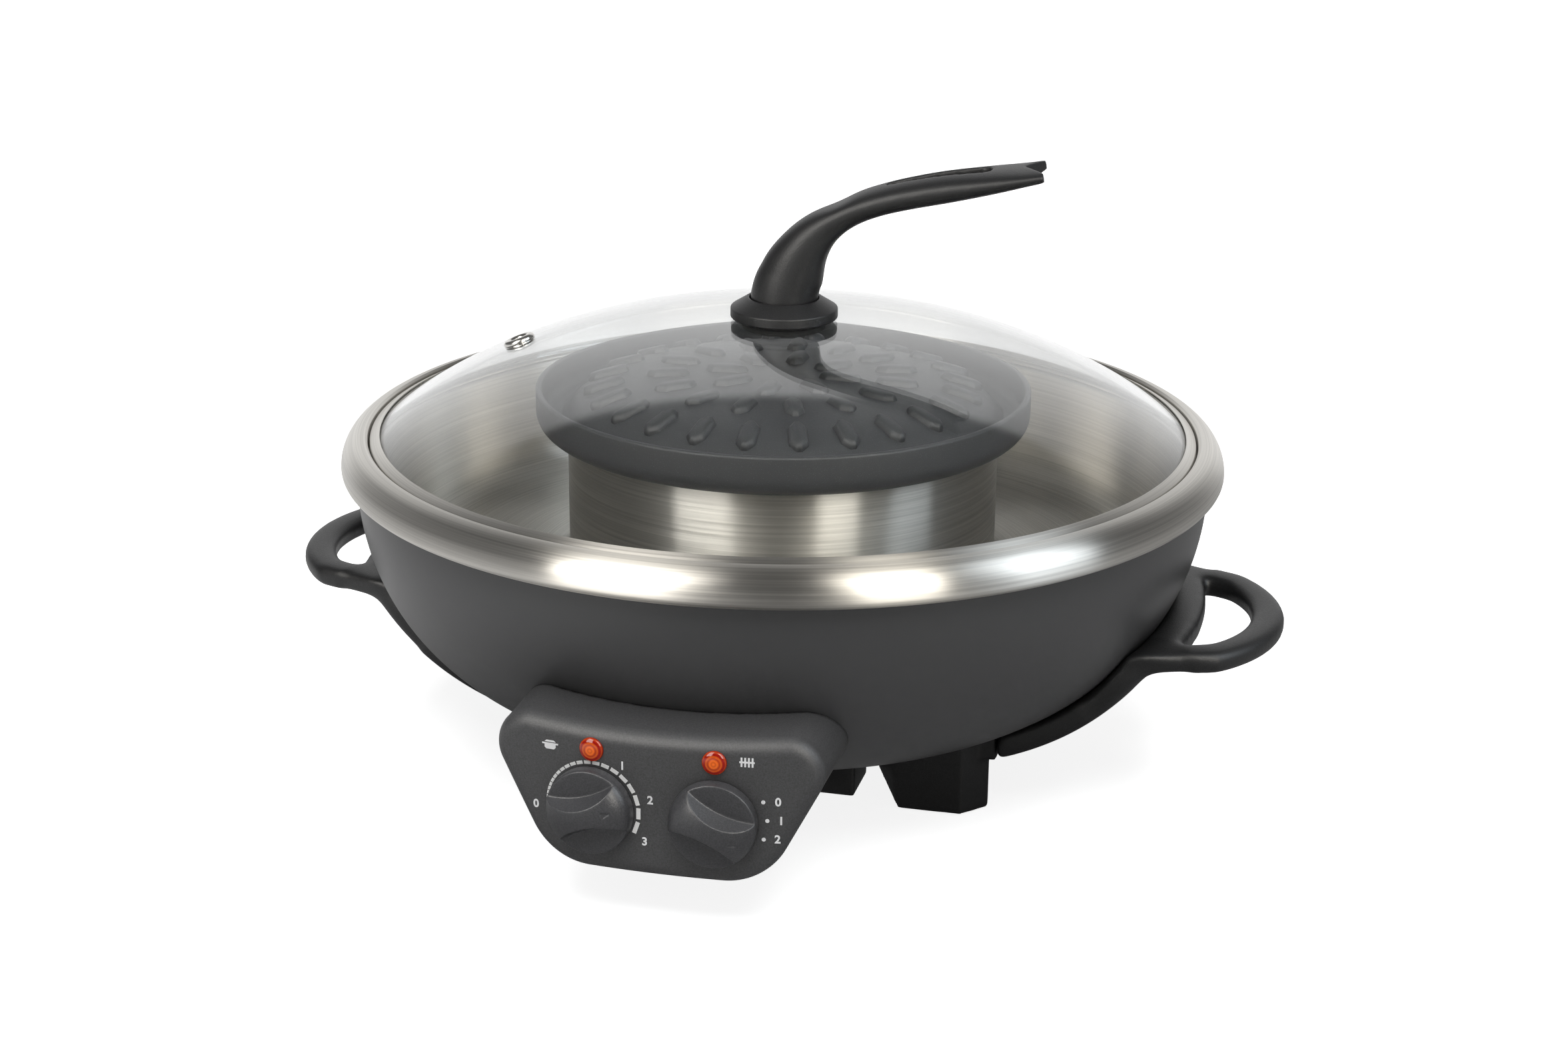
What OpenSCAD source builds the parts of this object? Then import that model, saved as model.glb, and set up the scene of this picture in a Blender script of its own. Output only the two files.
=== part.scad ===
// Electric hot pot with a central grill plate and a lift-off glass lid.
// Millimetres. The table is the plane z = 0 under the foot pads, the pot's axis is Z,
// the control panel faces -Y and the side handles point along X.

/* [Rim and bowl] */
// Outer radius of the rolled rim
rim_r = 190; // [180:1:200]
// Height of the rim's widest line above the table
rim_z = 134; // [130:1:140]
// How far the roll stands out from its centre line
rim_roll_w = 10.6; // [9:0.2:12]
// Height of the roll above its widest line
rim_roll_up = 12.4; // [11:0.2:14]
// Depth of the roll below its widest line
rim_roll_down = 4.5; // [4:0.1:5]
// How far the rim overhangs the bowl
rim_overhang = 6.4; // [6:0.1:7]
// Depth of the painted bowl below its straight collar
bowl_depth = 107.6; // [104:0.2:110]
// Height of the bowl's straight collar under the rim
bowl_collar = 3.5; // [2:0.1:4]
// Fullness of the bowl's side, 2 is an ellipse
bowl_side_power = 3.4; // [2.6:0.1:4]
// Fullness of the bowl's bottom, 2 is an ellipse
bowl_floor_power = 2.04; // [1.9:0.02:2.2]
// Thickness of the bowl's sheet
bowl_sheet = 1; // [0.8:0.1:1.4]
// Radius of the wiring hole in the bowl's bottom
bowl_hole_r = 46; // [42:1:48]

/* [Inner pot] */
// Thickness of the pot's sheet
pot_sheet = 1.2; // [0.8:0.1:1.4]
// Height of the lid ledge above the rim's widest line
ledge_up = 4.5; // [4:0.1:6]
// Width of the lid ledge
ledge_w = 7; // [6:0.2:9]
// How far the pot's wall leans in from top to bottom
pot_lean = 5.5; // [3:0.5:7]
// Depth of the pot's floor below the rim's widest line
pot_depth = 48; // [44:1:50]
// Fillet between the wall and the floor
pot_fillet = 15; // [10:1:18]
// Radius of the central pedestal
pedestal_r = 92.7; // [88:0.1:96]
// Fillet between the floor and the pedestal
pedestal_fillet = 9; // [6:0.5:10]
// Height of the pedestal's top above the rim's widest line
pedestal_up = 11.7; // [10:0.1:14]
// Radius of the pedestal's top edge
pedestal_edge = 3; // [2:0.5:4]

/* [Grill plate] */
// Outer radius of the grill plate
grill_r = 106; // [102:0.5:112]
// Height of the grill plate's outer wall
grill_wall_h = 17.5; // [15:0.5:19]
// Thickness of the grill plate's outer wall
grill_wall_t = 2.6; // [2:0.2:4]
// Thickness of the grill plate under its gutter
grill_floor_t = 5; // [4:0.5:6]
// Width of the fat gutter
grill_gutter_w = 11; // [8:0.5:14]
// Height of the dome's edge above the gutter
grill_shoulder = 3; // [2:0.5:4]
// Radius of the grill plate's rounded lower corner
grill_corner = 7.5; // [5:0.5:8]
// Rise of the dome above its own edge
grill_dome_h = 14; // [10:0.5:15]
// Number of ribs in the outer, middle and inner ring
grill_rib_counts = [24, 15, 8];
// Radius of the middle of each ring of ribs
grill_rib_rings = [77, 49.5, 25];
// Direction of the first rib in each ring
grill_rib_turns = [3.5, 1, 0];
// Length of a rib
grill_rib_l = 18; // [14:0.5:19]
// Width of a rib
grill_rib_w = 8; // [6:0.2:8.4]
// Height of a rib above the dome
grill_rib_h = 2.2; // [1.4:0.1:2.6]

/* [Lid] */
// Gap between the lid's band and the rim
lid_gap = 0.9; // [0.5:0.1:1.5]
// Thickness of the steel band
lid_band_t = 1.2; // [1:0.1:2]
// Thickness of the glass
glass_t = 4; // [3:0.5:5]
// Rise of the dome from its edge to its crown
glass_rise = 49.2; // [44:0.2:56]
// Fullness of the dome, 2 is a parabola
glass_power = 2.5; // [2.2:0.1:2.8]
// Distance of the vent from the axis
vent_r = 119; // [112:1:126]
// Direction of the vent from +X
vent_angle = 181; // [160:1:190]
// Radius of the vent's hole
vent_bore_r = 3.4; // [3:0.1:3.8]
// Width of the vent's rolled ring
vent_roll = 3.7; // [3:0.1:4]
// Radius of the collar under the handle
collar_r = 23; // [21:0.5:26]
// Height of the collar's upright edge
collar_edge_h = 4.5; // [4:0.1:6]
// Height of the whole collar
collar_h = 9; // [8:0.1:11]
// Half width of the handle's post
post_r = 14.6; // [13:0.2:15]
// Direction of the lid handle from +X
lid_turn = 7; // [0:1:14]
// How far the lid handle reaches out from the axis
handle_reach = 109; // [100:1:120]
// Height of the handle's tip above the top of the collar
handle_rise = 58; // [52:1:64]
// Half width across the handle's fork
fork_half_w = 16; // [14:0.5:18]
// Length of the eye in the handle
eye_l = 44; // [36:1:48]
// Width of the eye at its wide end
eye_w = 10; // [8:0.5:11]

/* [Control panel] */
// Distance of the panel's face from the pot's axis
face_y = 200; // [198:1:204]
// Radius of the face's bulge
face_curve = 330; // [300:5:400]
// Half width between the centres of the upper corners
panel_top_x = 51; // [49:0.5:53]
// Height of the centres of the upper corners
panel_top_z = 68.5; // [67:0.5:70]
// Radius of the upper corners
panel_top_r = 15; // [14:0.5:16]
// Half width between the centres of the lower corners
panel_low_x = 27; // [25:0.5:29]
// Height of the centres of the lower corners
panel_low_z = 50.3; // [49.3:0.1:51.3]
// Radius of the lower corners
panel_low_r = 27.3; // [26.3:0.1:28.3]
// How much the housing widens towards the bowl
panel_flare = 9; // [5:0.5:10]
// How far the face's edge is rounded off
panel_round = 5; // [4:0.5:6]
// Wall of the control housing
panel_wall = 2.6; // [2:0.1:3]
// Half distance between the knobs
knob_x = 24.2; // [23:0.1:25]
// Height of the knobs' centres
knob_z = 49.8; // [48:0.2:52]
// Radius of a knob
knob_r = 17.2; // [16:0.1:18]
// Height of a knob
knob_h = 15; // [13:0.5:17]
// Direction of the pot knob's pointer
pot_knob_turn = 17; // [0:1:40]
// Direction of the grill knob's pointer
grill_knob_turn = -24; // [-24:1:20]
// Radius of the knob shafts
shaft_r = 3; // [2.5:0.1:3.4]
// Height of the lamps' centres
lamp_z = 74; // [73:0.2:75]
// Radius of a lamp lens
lamp_r = 4.8; // [4.6:0.1:5.2]

/* [Base and side handles] */
// Radius of the base tray
tray_r = 74; // [72:0.5:78]
// Height of the tray's underside above the table
tray_z = 14; // [13:0.2:14.4]
// Thickness of the tray's floor
tray_floor = 3; // [2.4:0.1:3.2]
// Thickness of the tray's wall
tray_wall = 3; // [2.4:0.1:4]
// Half width of the tray's neck to the control housing
neck_half_w = 40; // [38:0.5:42]
// Distance of the neck's front from the pot's axis
neck_y = 120; // [116:1:124]
// Height of the neck's underside
neck_z = 19; // [17:0.5:21]
// How far the rubber pads stand out of the feet
pad_proud = 0.5; // [0.4:0.1:1]
// Radius of a rubber pad
pad_r = 8; // [7:0.5:9]
// Distance of the handles' tips from the pot's axis
handle_tip = 220; // [214:1:226]
// Radius of the curved rail of a handle
rail_r = 62.8; // [60:0.2:66]
// Width of the rail
rail_w = 15; // [14:0.5:17]
// Height of the rail
rail_h = 10.4; // [9:0.2:12]
// Height of the rail's middle above the table
rail_z = 74.5; // [72:0.5:77]
// Half width of an arm
arm_half_w = 62; // [58:0.5:64]
// Thickness of an arm under the bowl
arm_t = 9.6; // [8:0.2:11]
// Distance of an arm's inner end from the pot's axis
arm_inner = 108; // [106:1:112]

/* [Hidden] */
$fn = 72;

// Clearances: between seated pieces, in running bores, and around parts that pass through holes
seat = 0.3;
run = 0.05;
pass = 0.4;
eps = 0.02;

// Colours
black_paint = [0.18, 0.18, 0.18];
black_plastic = [0.12, 0.12, 0.125];
rubber = [0.08, 0.08, 0.08];
steel = [0.75, 0.74, 0.72];
zinc = [0.62, 0.63, 0.64];
cast_grey = [0.23, 0.235, 0.245];
phenolic = [0.3, 0.2, 0.14];
lamp_red = [0.85, 0.2, 0.1];
clear_glass = [0.8, 0.88, 0.9, 0.35];

// Points on an arc of an ellipse round [cx, cz], from angle a to angle b
function arc(cx, cz, rx, rz, a, b, steps = 12) =
    [for (i = [0 : steps]) [cx + rx * cos(a + (b - a) * i / steps), cz + rz * sin(a + (b - a) * i / steps)]];
function reverse(list) = [for (i = [len(list) - 1 : -1 : 0]) list[i]];
// Value at t between 0 and 1 in a list of evenly spaced values
function blend_list(values, t) =
    let (s = t * (len(values) - 1), i = min(floor(s), len(values) - 2)) values[i] + (values[i + 1] - values[i]) * (s - i);
// Cubic curve through its four control points
function cubic(p, t) =
    pow(1 - t, 3) * p[0] + 3 * t * pow(1 - t, 2) * p[1] + 3 * t * t * (1 - t) * p[2] + pow(t, 3) * p[3];
function cubic_slope(p, t) =
    3 * pow(1 - t, 2) * (p[1] - p[0]) + 6 * t * (1 - t) * (p[2] - p[1]) + 3 * t * t * (p[3] - p[2]);

// Bowl
bowl_r = rim_r - rim_overhang;
rim_tuck = 4;
bowl_top = rim_z - rim_tuck;
bowl_steps = 30;
// Outer line of the bowl, moved inwards by o
function bowl_line(o) =
    [for (i = [0 : bowl_steps]) let (a = 90 * i / bowl_steps)
        [(bowl_r - o) * pow(max(cos(a), 0), 2 / bowl_side_power),
         bowl_top - (bowl_depth - o) * pow(sin(a), 2 / bowl_floor_power)]];
// Height of the bowl's underside at the distance r from the axis
function bowl_under(r) =
    bowl_top - bowl_depth * pow(1 - pow(r / bowl_r, bowl_side_power), 1 / bowl_floor_power);

// Pot
roll_r = rim_r - rim_roll_w;
lip_r = roll_r - 0.9;
ledge_z = rim_z + ledge_up;
ledge_r = lip_r - ledge_w;
pot_floor_z = rim_z - pot_depth;
pot_low_r = ledge_r - pot_lean;
pedestal_top = rim_z + pedestal_up;
roll_open = 60;
// Line of the pot's sheet from the roll's lower edge to the axis, moved to its hidden side by o
function pot_wall_line(o) = concat(
    arc(roll_r, rim_z, rim_roll_w - o, rim_roll_down - o, -roll_open, 0, 6),
    arc(roll_r, rim_z, rim_roll_w - o, rim_roll_up - o, 9, 90, 9),
    [[lip_r + o, rim_z + rim_roll_up - 0.9 - o],
     [lip_r + o, ledge_z - o],
     [ledge_r + o, ledge_z - o]],
    arc(pot_low_r - pot_fillet, pot_floor_z + pot_fillet, pot_fillet + o, pot_fillet + o, 0, -90, 8),
    [[pedestal_r + pedestal_fillet, pot_floor_z - o]]);

// The pedestal's cup, whose flared foot is seam-welded edge to edge into the hole in the pot's floor
function pedestal_line(o) = concat(
    arc(pedestal_r + pedestal_fillet, pot_floor_z + pedestal_fillet,
        pedestal_fillet + o, pedestal_fillet + o, -90, -180, 8),
    arc(pedestal_r - pedestal_edge, pedestal_top - pedestal_edge, pedestal_edge - o, pedestal_edge - o, 0, 90, 5),
    [[0, pedestal_top - o]]);

// Grill plate
grill_z = pedestal_top + seat;
grill_lip_z = grill_z + grill_wall_h;
gutter_z = grill_z + grill_floor_t;
dome_r = grill_r - grill_wall_t - grill_gutter_w;
dome_z = gutter_z + grill_shoulder;
// The dome is nearly flat in the middle and falls off in a round shoulder
dome_bow = 0.25;
dome_steps = 18;
function dome_top(r) =
    dome_z + grill_dome_h * (1 - dome_bow * pow(r / dome_r, 2) - (1 - dome_bow) * pow(r / dome_r, 8));
function dome_fall(r) =
    grill_dome_h / dome_r * (2 * dome_bow * r / dome_r + 8 * (1 - dome_bow) * pow(r / dome_r, 7));

// Lid
band_r = lip_r - lid_gap;
band_z = ledge_z + seat;
glass_r = band_r - lid_band_t - seat;
glass_z = band_z + lid_band_t + seat + glass_t;
crown_z = glass_z + glass_rise;
function glass_top(r) = glass_z + glass_rise * (1 - pow(r / glass_r, glass_power));
function glass_slope(r) = glass_rise * glass_power / glass_r * pow(r / glass_r, glass_power - 1);
glass_hole_r = 5;
washer_t = 0.8;
collar_z = crown_z + washer_t;
post_z = collar_z + collar_h;
collar_well = 3;
lid_screw_r = 2.5;
lid_screw_in = 12;
handle_steps = 22;
handle_sides = 20;

// Control panel
face_axis_y = face_curve - face_y;
panel_back = neck_y + eps;
shaft_in = 18;
shaft_out = 9;
knob_gap = 0.8;
knob_skirt = 4;
body_depth = 22;
holder_r = 4.4;
holder_l = 20;
holder_neck = 10;

// Base
foot_z = pad_proud;
pad_depth = 2.6;
foot_x0 = 67.5;
foot_x1 = 104.3;
foot_y0 = 40;
foot_y1 = 64;
foot_cut_x = 9.8;
foot_cut_y = 11.5;
foot_flare = 10;
foot_back = 5;
boss_half_w = 53.4;
boss_y = 87;
boss_back_y = 62;
boss_corner = 10;
rib_half_w = 57;
rib_in = 40;
rib_l = 10;
rib_z = 24;
base_cut = 60;
slot_half_n = 3;
slot_pitch = 10;
slot_w = 4;
slot_l = 44;
foot_x = 84;
foot_y = 53;
stud_x = 90;
stud_y = 57;
stud_r = 3;
nut_r = 6;
nut_h = 5;
nut_z = 9;
service_r = 50;
service_lip = 4;
cover_t = 2;
cover_screw_n = 4;
cover_screw_r = 1.6;
tongue_half_w = 28;
tongue_in = 56;
tongue_out = arm_inner + 8;
tongue_t = 4.2;
handle_screw_x = 63;
handle_screw_y = 16;
handle_screw_r = 2;
rail_x = handle_tip - rail_r - rail_w / 2;
rail_turn = 44;
rail_over = 2.4;
rail_corner = 4.4;
leg_turn = 23;
leg_w = rail_w + 1;
leg_end_x = 0.76 * bowl_r;
leg_l = (rail_x + rail_r * cos(rail_turn) - leg_end_x) / cos(leg_turn);
bar_r = 185.5;
bar_half_w = 54;
rail_gap = 0.3;
gland_r = 3.6;
gland_bore = 2.6;
gland_end = 2;
gland_step = 0.4;
gland_z = bowl_under(tray_r - tray_wall - gland_end) - seat - gland_r - 0.2;
housing_screw_x = 32;
housing_screw_z = 29;
housing_screw_r = 1.7;

// Heaters
reflector_z = 66;
reflector_t = 0.8;
reflector_in = 70;
reflector_lip = 7;
reflector_lean = 3;
stud_flange_r = 5.5;
heater_r = 4;
heater_ring_r = 128;
heater_gap = 16;
heater_tail = 24;
reflector_out = heater_ring_r + 14;
sleeve_t = 0.6;
heater_z = pot_floor_z - pot_sheet - heater_r;
plate_r = 84;
plate_t = 12;
plate_top = pedestal_top - pot_sheet;
plate_under = plate_top - plate_t;
plate_ring_r = 58;
plate_gap = 24;
plate_tail = 26;
plate_stud_r = 2.5;
plate_stud_at = 34;

// Shared shapes

// Solid inside the bowl's outer line, grown by o, used to cut what sits against the bowl
module bowl_room(o) {
    rotate_extrude()
        polygon(concat([[0, rim_z]], [[bowl_r + o, rim_z]], bowl_line(-o)));
}

// A pan-head screw whose head is under z = 0 and whose shank points up
module screw(r, l) {
    cylinder(r = r, h = l);
    translate([0, 0, -r])
        cylinder(r = 2 * r, h = r);
}

// A ring of tube, open by a gap angle, with two terminal sleeves of the given length pointing down
module tube_ring(ring_r, tube_r, gap_angle, tail) {
    rotate([0, 0, gap_angle / 2])
        rotate_extrude(angle = 360 - gap_angle, $fn = 120)
            translate([ring_r, 0])
                circle(r = tube_r);
    for (s = [-1, 1])
        rotate([0, 0, s * (gap_angle / 2 + 1)])
            translate([ring_r, 0, -tail])
                cylinder(r = tube_r + sleeve_t, h = tail - seat);
}

// A rectangle with rounded corners, centred
module soft_rect(w, h, r) {
    square([w - 2 * r, h], center = true);
    square([w, h - 2 * r], center = true);
    for (x = [-1, 1], y = [-1, 1])
        translate([x * (w / 2 - r), y * (h / 2 - r)])
            circle(r = r, $fn = 32);
}

// Places children on the panel's face: x to the right, y up, z outwards
module on_face(x, z) {
    translate([0, face_axis_y, 0])
        rotate([0, 0, asin(x / face_curve)])
            translate([0, -face_curve, z])
                rotate([90, 0, 0])
                    children();
}

// Puts children at the four feet
module at_feet(x, y) {
    for (i = [-1, 1], j = [-1, 1])
        translate([i * x, j * y, 0])
            children();
}

// Base

// Outline of a foot, grown by o on its inner sides, with its outer corner cut off
module foot_outline(o) {
    polygon([[foot_x0 - o, foot_y0 - o / 2], [foot_x1 - foot_back, foot_y0 - o / 2], [foot_x1, foot_y1 - foot_cut_y],
             [foot_x1 - foot_cut_x, foot_y1], [foot_x0 - o / 4, foot_y1], [foot_x0 - o, foot_y1 - o / 2]]);
}

// One foot: a tapered block that widens upwards, towards the tray
module foot() {
    hull() {
        translate([0, 0, foot_z])
            linear_extrude(eps)
                foot_outline(0);
        translate([0, 0, tray_z + tray_floor])
            linear_extrude(bowl_under(norm([foot_x1, foot_y1 - foot_cut_y])) - tray_z - tray_floor)
                foot_outline(foot_flare);
    }
}

// Outline of the boss between the tray and the neck, drawn in by o
module boss_outline(o) {
    polygon([[-boss_half_w + o, -boss_y + o], [boss_half_w - o, -boss_y + o], [boss_half_w - o, -boss_back_y + o],
             [boss_half_w - boss_corner, -boss_back_y + boss_corner], [boss_corner - boss_half_w, -boss_back_y + boss_corner],
             [-boss_half_w + o, -boss_back_y + o]]);
}

module base_tray() {
    wall_top = bowl_under(tray_r) + 2;
    color(black_plastic)
    difference() {
        union() {
            translate([0, 0, tray_z])
                cylinder(r = tray_r, h = wall_top - tray_z);
            for (i = [0, 1], j = [0, 1])
                mirror([i, 0, 0])
                    mirror([0, j, 0])
                        foot();
            difference() {
                union() {
                    translate([-neck_half_w, -neck_y, neck_z])
                        cube([2 * neck_half_w, neck_y - tray_r / 2, bowl_under(norm([neck_half_w, neck_y])) - neck_z]);
                    translate([0, 0, tray_z])
                        linear_extrude(bowl_under(norm([boss_half_w, boss_y])) - tray_z)
                            boss_outline(0);
                }
                translate([-neck_half_w + tray_wall, tray_wall - neck_y, neck_z + tray_wall])
                    cube([2 * (neck_half_w - tray_wall), neck_y, base_cut]);
                translate([0, 0, tray_z + tray_floor])
                    linear_extrude(base_cut)
                        boss_outline(tray_wall);
            }
            for (i = [0, 1], j = [0, 1])
                mirror([i, 0, 0])
                    mirror([0, j, 0])
                        translate([arm_inner - rail_gap - rib_l, rib_in, rib_z])
                            cube([rib_l, rib_half_w - rib_in, bowl_under(norm([arm_inner, rib_half_w])) - rib_z]);
        }
        bowl_room(seat);
        translate([0, 0, tray_z + tray_floor])
            cylinder(r = tray_r - tray_wall, h = base_cut);
        translate([0, 0, tray_z - 1])
            cylinder(r = service_r, h = cover_t + seat + 1);
        translate([0, 0, tray_z - 1])
            cylinder(r = service_r - service_lip, h = base_cut);
        for (s = [-1, 1])
            translate([s * (tongue_in + base_cut / 2) - base_cut / 2 - pass, -tongue_half_w - pass, tray_z + tray_floor])
                cube([base_cut + 2 * pass, 2 * (tongue_half_w + pass), base_cut]);
        at_feet(foot_x, foot_y)
            translate([0, 0, -1])
                cylinder(r = pad_r + seat, h = 1 + pad_proud + pad_depth);
        at_feet(stud_x, stud_y) {
            cylinder(r = stud_r + pass, h = base_cut);
            cylinder(r = nut_r + pass, h = nut_z + nut_h);
        }
        for (i = [1 : cover_screw_n])
            rotate([0, 0, 45 + 360 * i / cover_screw_n])
                translate([service_r - service_lip / 2, 0, 0])
                    cylinder(r = cover_screw_r + run, h = base_cut);
        for (s = [-1, 1], j = [-1, 1])
            translate([s * handle_screw_x, j * handle_screw_y, 0])
                cylinder(r = handle_screw_r + pass, h = base_cut);
        translate([0, tray_r - 10, gland_z])
            rotate([-90, 0, 0])
                cylinder(r = gland_r + run, h = 20);
        for (s = [-1, 1])
            translate([s * housing_screw_x, -neck_y - 1, housing_screw_z])
                rotate([-90, 0, 0])
                    cylinder(r = housing_screw_r + pass, h = 8);
    }
}

module base_cover() {
    color(black_plastic)
    difference() {
        translate([0, 0, tray_z])
            cylinder(r = service_r - seat, h = cover_t);
        for (i = [1 : cover_screw_n])
            rotate([0, 0, 45 + 360 * i / cover_screw_n])
                translate([service_r - service_lip / 2, 0, 0])
                    cylinder(r = cover_screw_r + pass, h = base_cut);
        for (i = [-slot_half_n : slot_half_n])
            translate([i * slot_pitch - slot_w / 2, -slot_l / 2, 0])
                cube([slot_w, slot_l, base_cut]);
    }
}

module cover_screws() {
    color(zinc)
    for (i = [1 : cover_screw_n])
        rotate([0, 0, 45 + 360 * i / cover_screw_n])
            translate([service_r - service_lip / 2, 0, tray_z])
                screw(cover_screw_r, cover_t + tray_floor);
}

module foot_pads() {
    color(rubber)
    at_feet(foot_x, foot_y)
        cylinder(r = pad_r, h = pad_proud + pad_depth);
}

module cord_gland() {
    color(rubber)
    translate([0, tray_r, gland_z])
        rotate([90, 0, 0])
            difference() {
                union() {
                    translate([0, 0, -gland_end])
                        cylinder(r = gland_r - gland_step, h = gland_end);
                    cylinder(r = gland_r, h = tray_wall);
                    translate([0, 0, tray_wall])
                        cylinder(r = gland_r - gland_step, h = gland_end);
                }
                translate([0, 0, -2 * gland_end])
                    cylinder(r = gland_bore, h = tray_wall + 4 * gland_end);
            }
}

module terminal_block() {
    block = [40, 18, 13];
    pitch = 9;
    color([0.85, 0.83, 0.78])
    translate([0, 0, tray_z + cover_t])
        difference() {
            translate([-block[0] / 2, -block[1] / 2, 0])
                cube(block);
            for (i = [-1.5 : 1 : 1.5]) {
                translate([i * pitch, -block[1], block[2] / 2])
                    rotate([-90, 0, 0])
                        cylinder(r = 2, h = 2 * block[1]);
                translate([i * pitch, 0, block[2] / 2])
                    cylinder(r = 1.7, h = block[2]);
            }
        }
}

// Side handles

// One loop handle on the +X side, with its arm under the bowl and the tongue that lies on the tray
module side_handle() {
    color(black_plastic)
    difference() {
        union() {
            intersection() {
                rotate_extrude()
                    polygon(concat(bowl_line(-seat - 0.1), reverse(bowl_line(-seat - arm_t))));
                translate([arm_inner, -arm_half_w, 0])
                    cube([handle_tip - arm_inner, 2 * arm_half_w, rail_z + rail_h / 2]);
            }
            difference() {
                translate([tongue_in, -tongue_half_w, tray_z + tray_floor])
                    cube([tongue_out - tongue_in, 2 * tongue_half_w, bowl_under(tongue_out) - tray_z - tray_floor]);
                bowl_room(seat + 0.1);
                translate([0, 0, tray_z + tray_floor + tongue_t])
                    cylinder(r = tray_r + 4, h = 20);
            }
            intersection() {
                translate([0, 0, rail_z - rail_h / 2])
                    cylinder(r = bar_r, h = rail_h);
                translate([leg_end_x, -bar_half_w, 0])
                    cube([handle_tip - leg_end_x, 2 * bar_half_w, rim_z]);
            }
            translate([rail_x, 0, rail_z])
                rotate([0, 0, -rail_turn - rail_over])
                    rotate_extrude(angle = 2 * (rail_turn + rail_over))
                        translate([rail_r, 0])
                            soft_rect(rail_w, rail_h, rail_corner);
            for (j = [0, 1])
                mirror([0, j, 0])
                    translate([rail_x + rail_r * cos(rail_turn), rail_r * sin(rail_turn), rail_z])
                        rotate([90, 0, 270 - leg_turn])
                            linear_extrude(leg_l)
                                soft_rect(leg_w, rail_h, rail_corner);
        }
        bowl_room(seat);
        for (j = [-1, 1])
            translate([handle_screw_x, j * handle_screw_y, 0])
                cylinder(r = handle_screw_r + run, h = base_cut);
    }
}

module right_handle() {
    side_handle();
}

module left_handle() {
    mirror([1, 0, 0])
        side_handle();
}

module handle_screws() {
    color(zinc)
    for (s = [-1, 1], j = [-1, 1])
        translate([s * handle_screw_x, j * handle_screw_y, tray_z])
            screw(handle_screw_r, tray_floor + tongue_t);
}

// Bowl and pot

module outer_bowl() {
    color(black_paint)
    difference() {
        rotate_extrude()
            polygon(concat([[bowl_r, bowl_top + bowl_collar]], bowl_line(0),
                           reverse(bowl_line(bowl_sheet)), [[bowl_r - bowl_sheet, bowl_top + bowl_collar]]));
        cylinder(r = bowl_hole_r, h = rim_z / 2);
        at_feet(stud_x, stud_y)
            cylinder(r = stud_r + pass, h = rim_z / 2);
    }
}

module inner_pot() {
    color(steel)
    rotate_extrude()
        polygon(concat(pot_wall_line(0), reverse(pot_wall_line(pot_sheet))));
}

module pot_pedestal() {
    color(steel)
    rotate_extrude()
        polygon(concat(pedestal_line(0), reverse(pedestal_line(pot_sheet))));
}

module pot_studs() {
    color(zinc)
    at_feet(stud_x, stud_y) {
        translate([0, 0, nut_z - 2])
            cylinder(r = stud_r, h = pot_floor_z - pot_sheet - nut_z + 2);
        translate([0, 0, reflector_z - 2])
            cylinder(r = stud_flange_r, h = 2);
    }
}

module stud_nuts() {
    color(zinc)
    at_feet(stud_x, stud_y)
        translate([0, 0, nut_z])
            difference() {
                cylinder(r = nut_r, h = nut_h, $fn = 6);
                translate([0, 0, -1])
                    cylinder(r = stud_r + run, h = nut_h + 2);
            }
}

module heat_reflector() {
    color(zinc)
    difference() {
        translate([0, 0, reflector_z])
            rotate_extrude()
                polygon([[reflector_in, 0], [reflector_out, 0], [reflector_out + reflector_lean, reflector_lip],
                         [reflector_out + reflector_lean - reflector_t, reflector_lip],
                         [reflector_out - reflector_t / 2, reflector_t], [reflector_in, reflector_t]]);
        at_feet(stud_x, stud_y)
            cylinder(r = stud_r + pass, h = rim_z);
        for (s = [-1, 1])
            rotate([0, 0, 90 + s * (heater_gap / 2 + 1)])
                translate([heater_ring_r, 0, 0])
                    cylinder(r = heater_r + sleeve_t + pass, h = rim_z);
    }
}

module pot_heater() {
    color(zinc)
    translate([0, 0, heater_z])
        rotate([0, 0, 90])
            tube_ring(heater_ring_r, heater_r, heater_gap, heater_tail);
}

// Grill heating

module heater_plate() {
    color(zinc)
    difference() {
        translate([0, 0, plate_under])
            cylinder(r = plate_r, h = plate_t);
        translate([0, 0, plate_under])
            rotate_extrude()
                translate([plate_ring_r, 0])
                    circle(r = heater_r + run, $fn = 32);
        for (i = [0 : 2])
            rotate([0, 0, 30 + 120 * i])
                translate([plate_stud_at, 0, 0])
                    cylinder(r = plate_stud_r + run, h = rim_z * 2);
    }
}

module grill_heater() {
    color(zinc)
    translate([0, 0, plate_under])
        rotate([0, 0, 90])
            tube_ring(plate_ring_r, heater_r, plate_gap, plate_tail);
}

module plate_studs() {
    color(zinc)
    for (i = [0 : 2])
        rotate([0, 0, 30 + 120 * i])
            translate([plate_stud_at, 0, plate_under - nut_h - 2])
                cylinder(r = plate_stud_r, h = plate_t + nut_h + 2);
}

module plate_nuts() {
    color(zinc)
    for (i = [0 : 2])
        rotate([0, 0, 30 + 120 * i])
            translate([plate_stud_at, 0, plate_under - nut_h])
                difference() {
                    cylinder(r = nut_r - 1, h = nut_h, $fn = 6);
                    translate([0, 0, -1])
                        cylinder(r = plate_stud_r + run, h = nut_h + 2);
                }
}

module thermal_cutout() {
    color(phenolic)
    translate([0, 0, plate_under - 11]) {
        cylinder(r = 8, h = 11);
        for (s = [-1, 1])
            translate([s * 4 - 0.4, -3, -7])
                cube([0.8, 6, 7]);
    }
}

// Control panel

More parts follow.
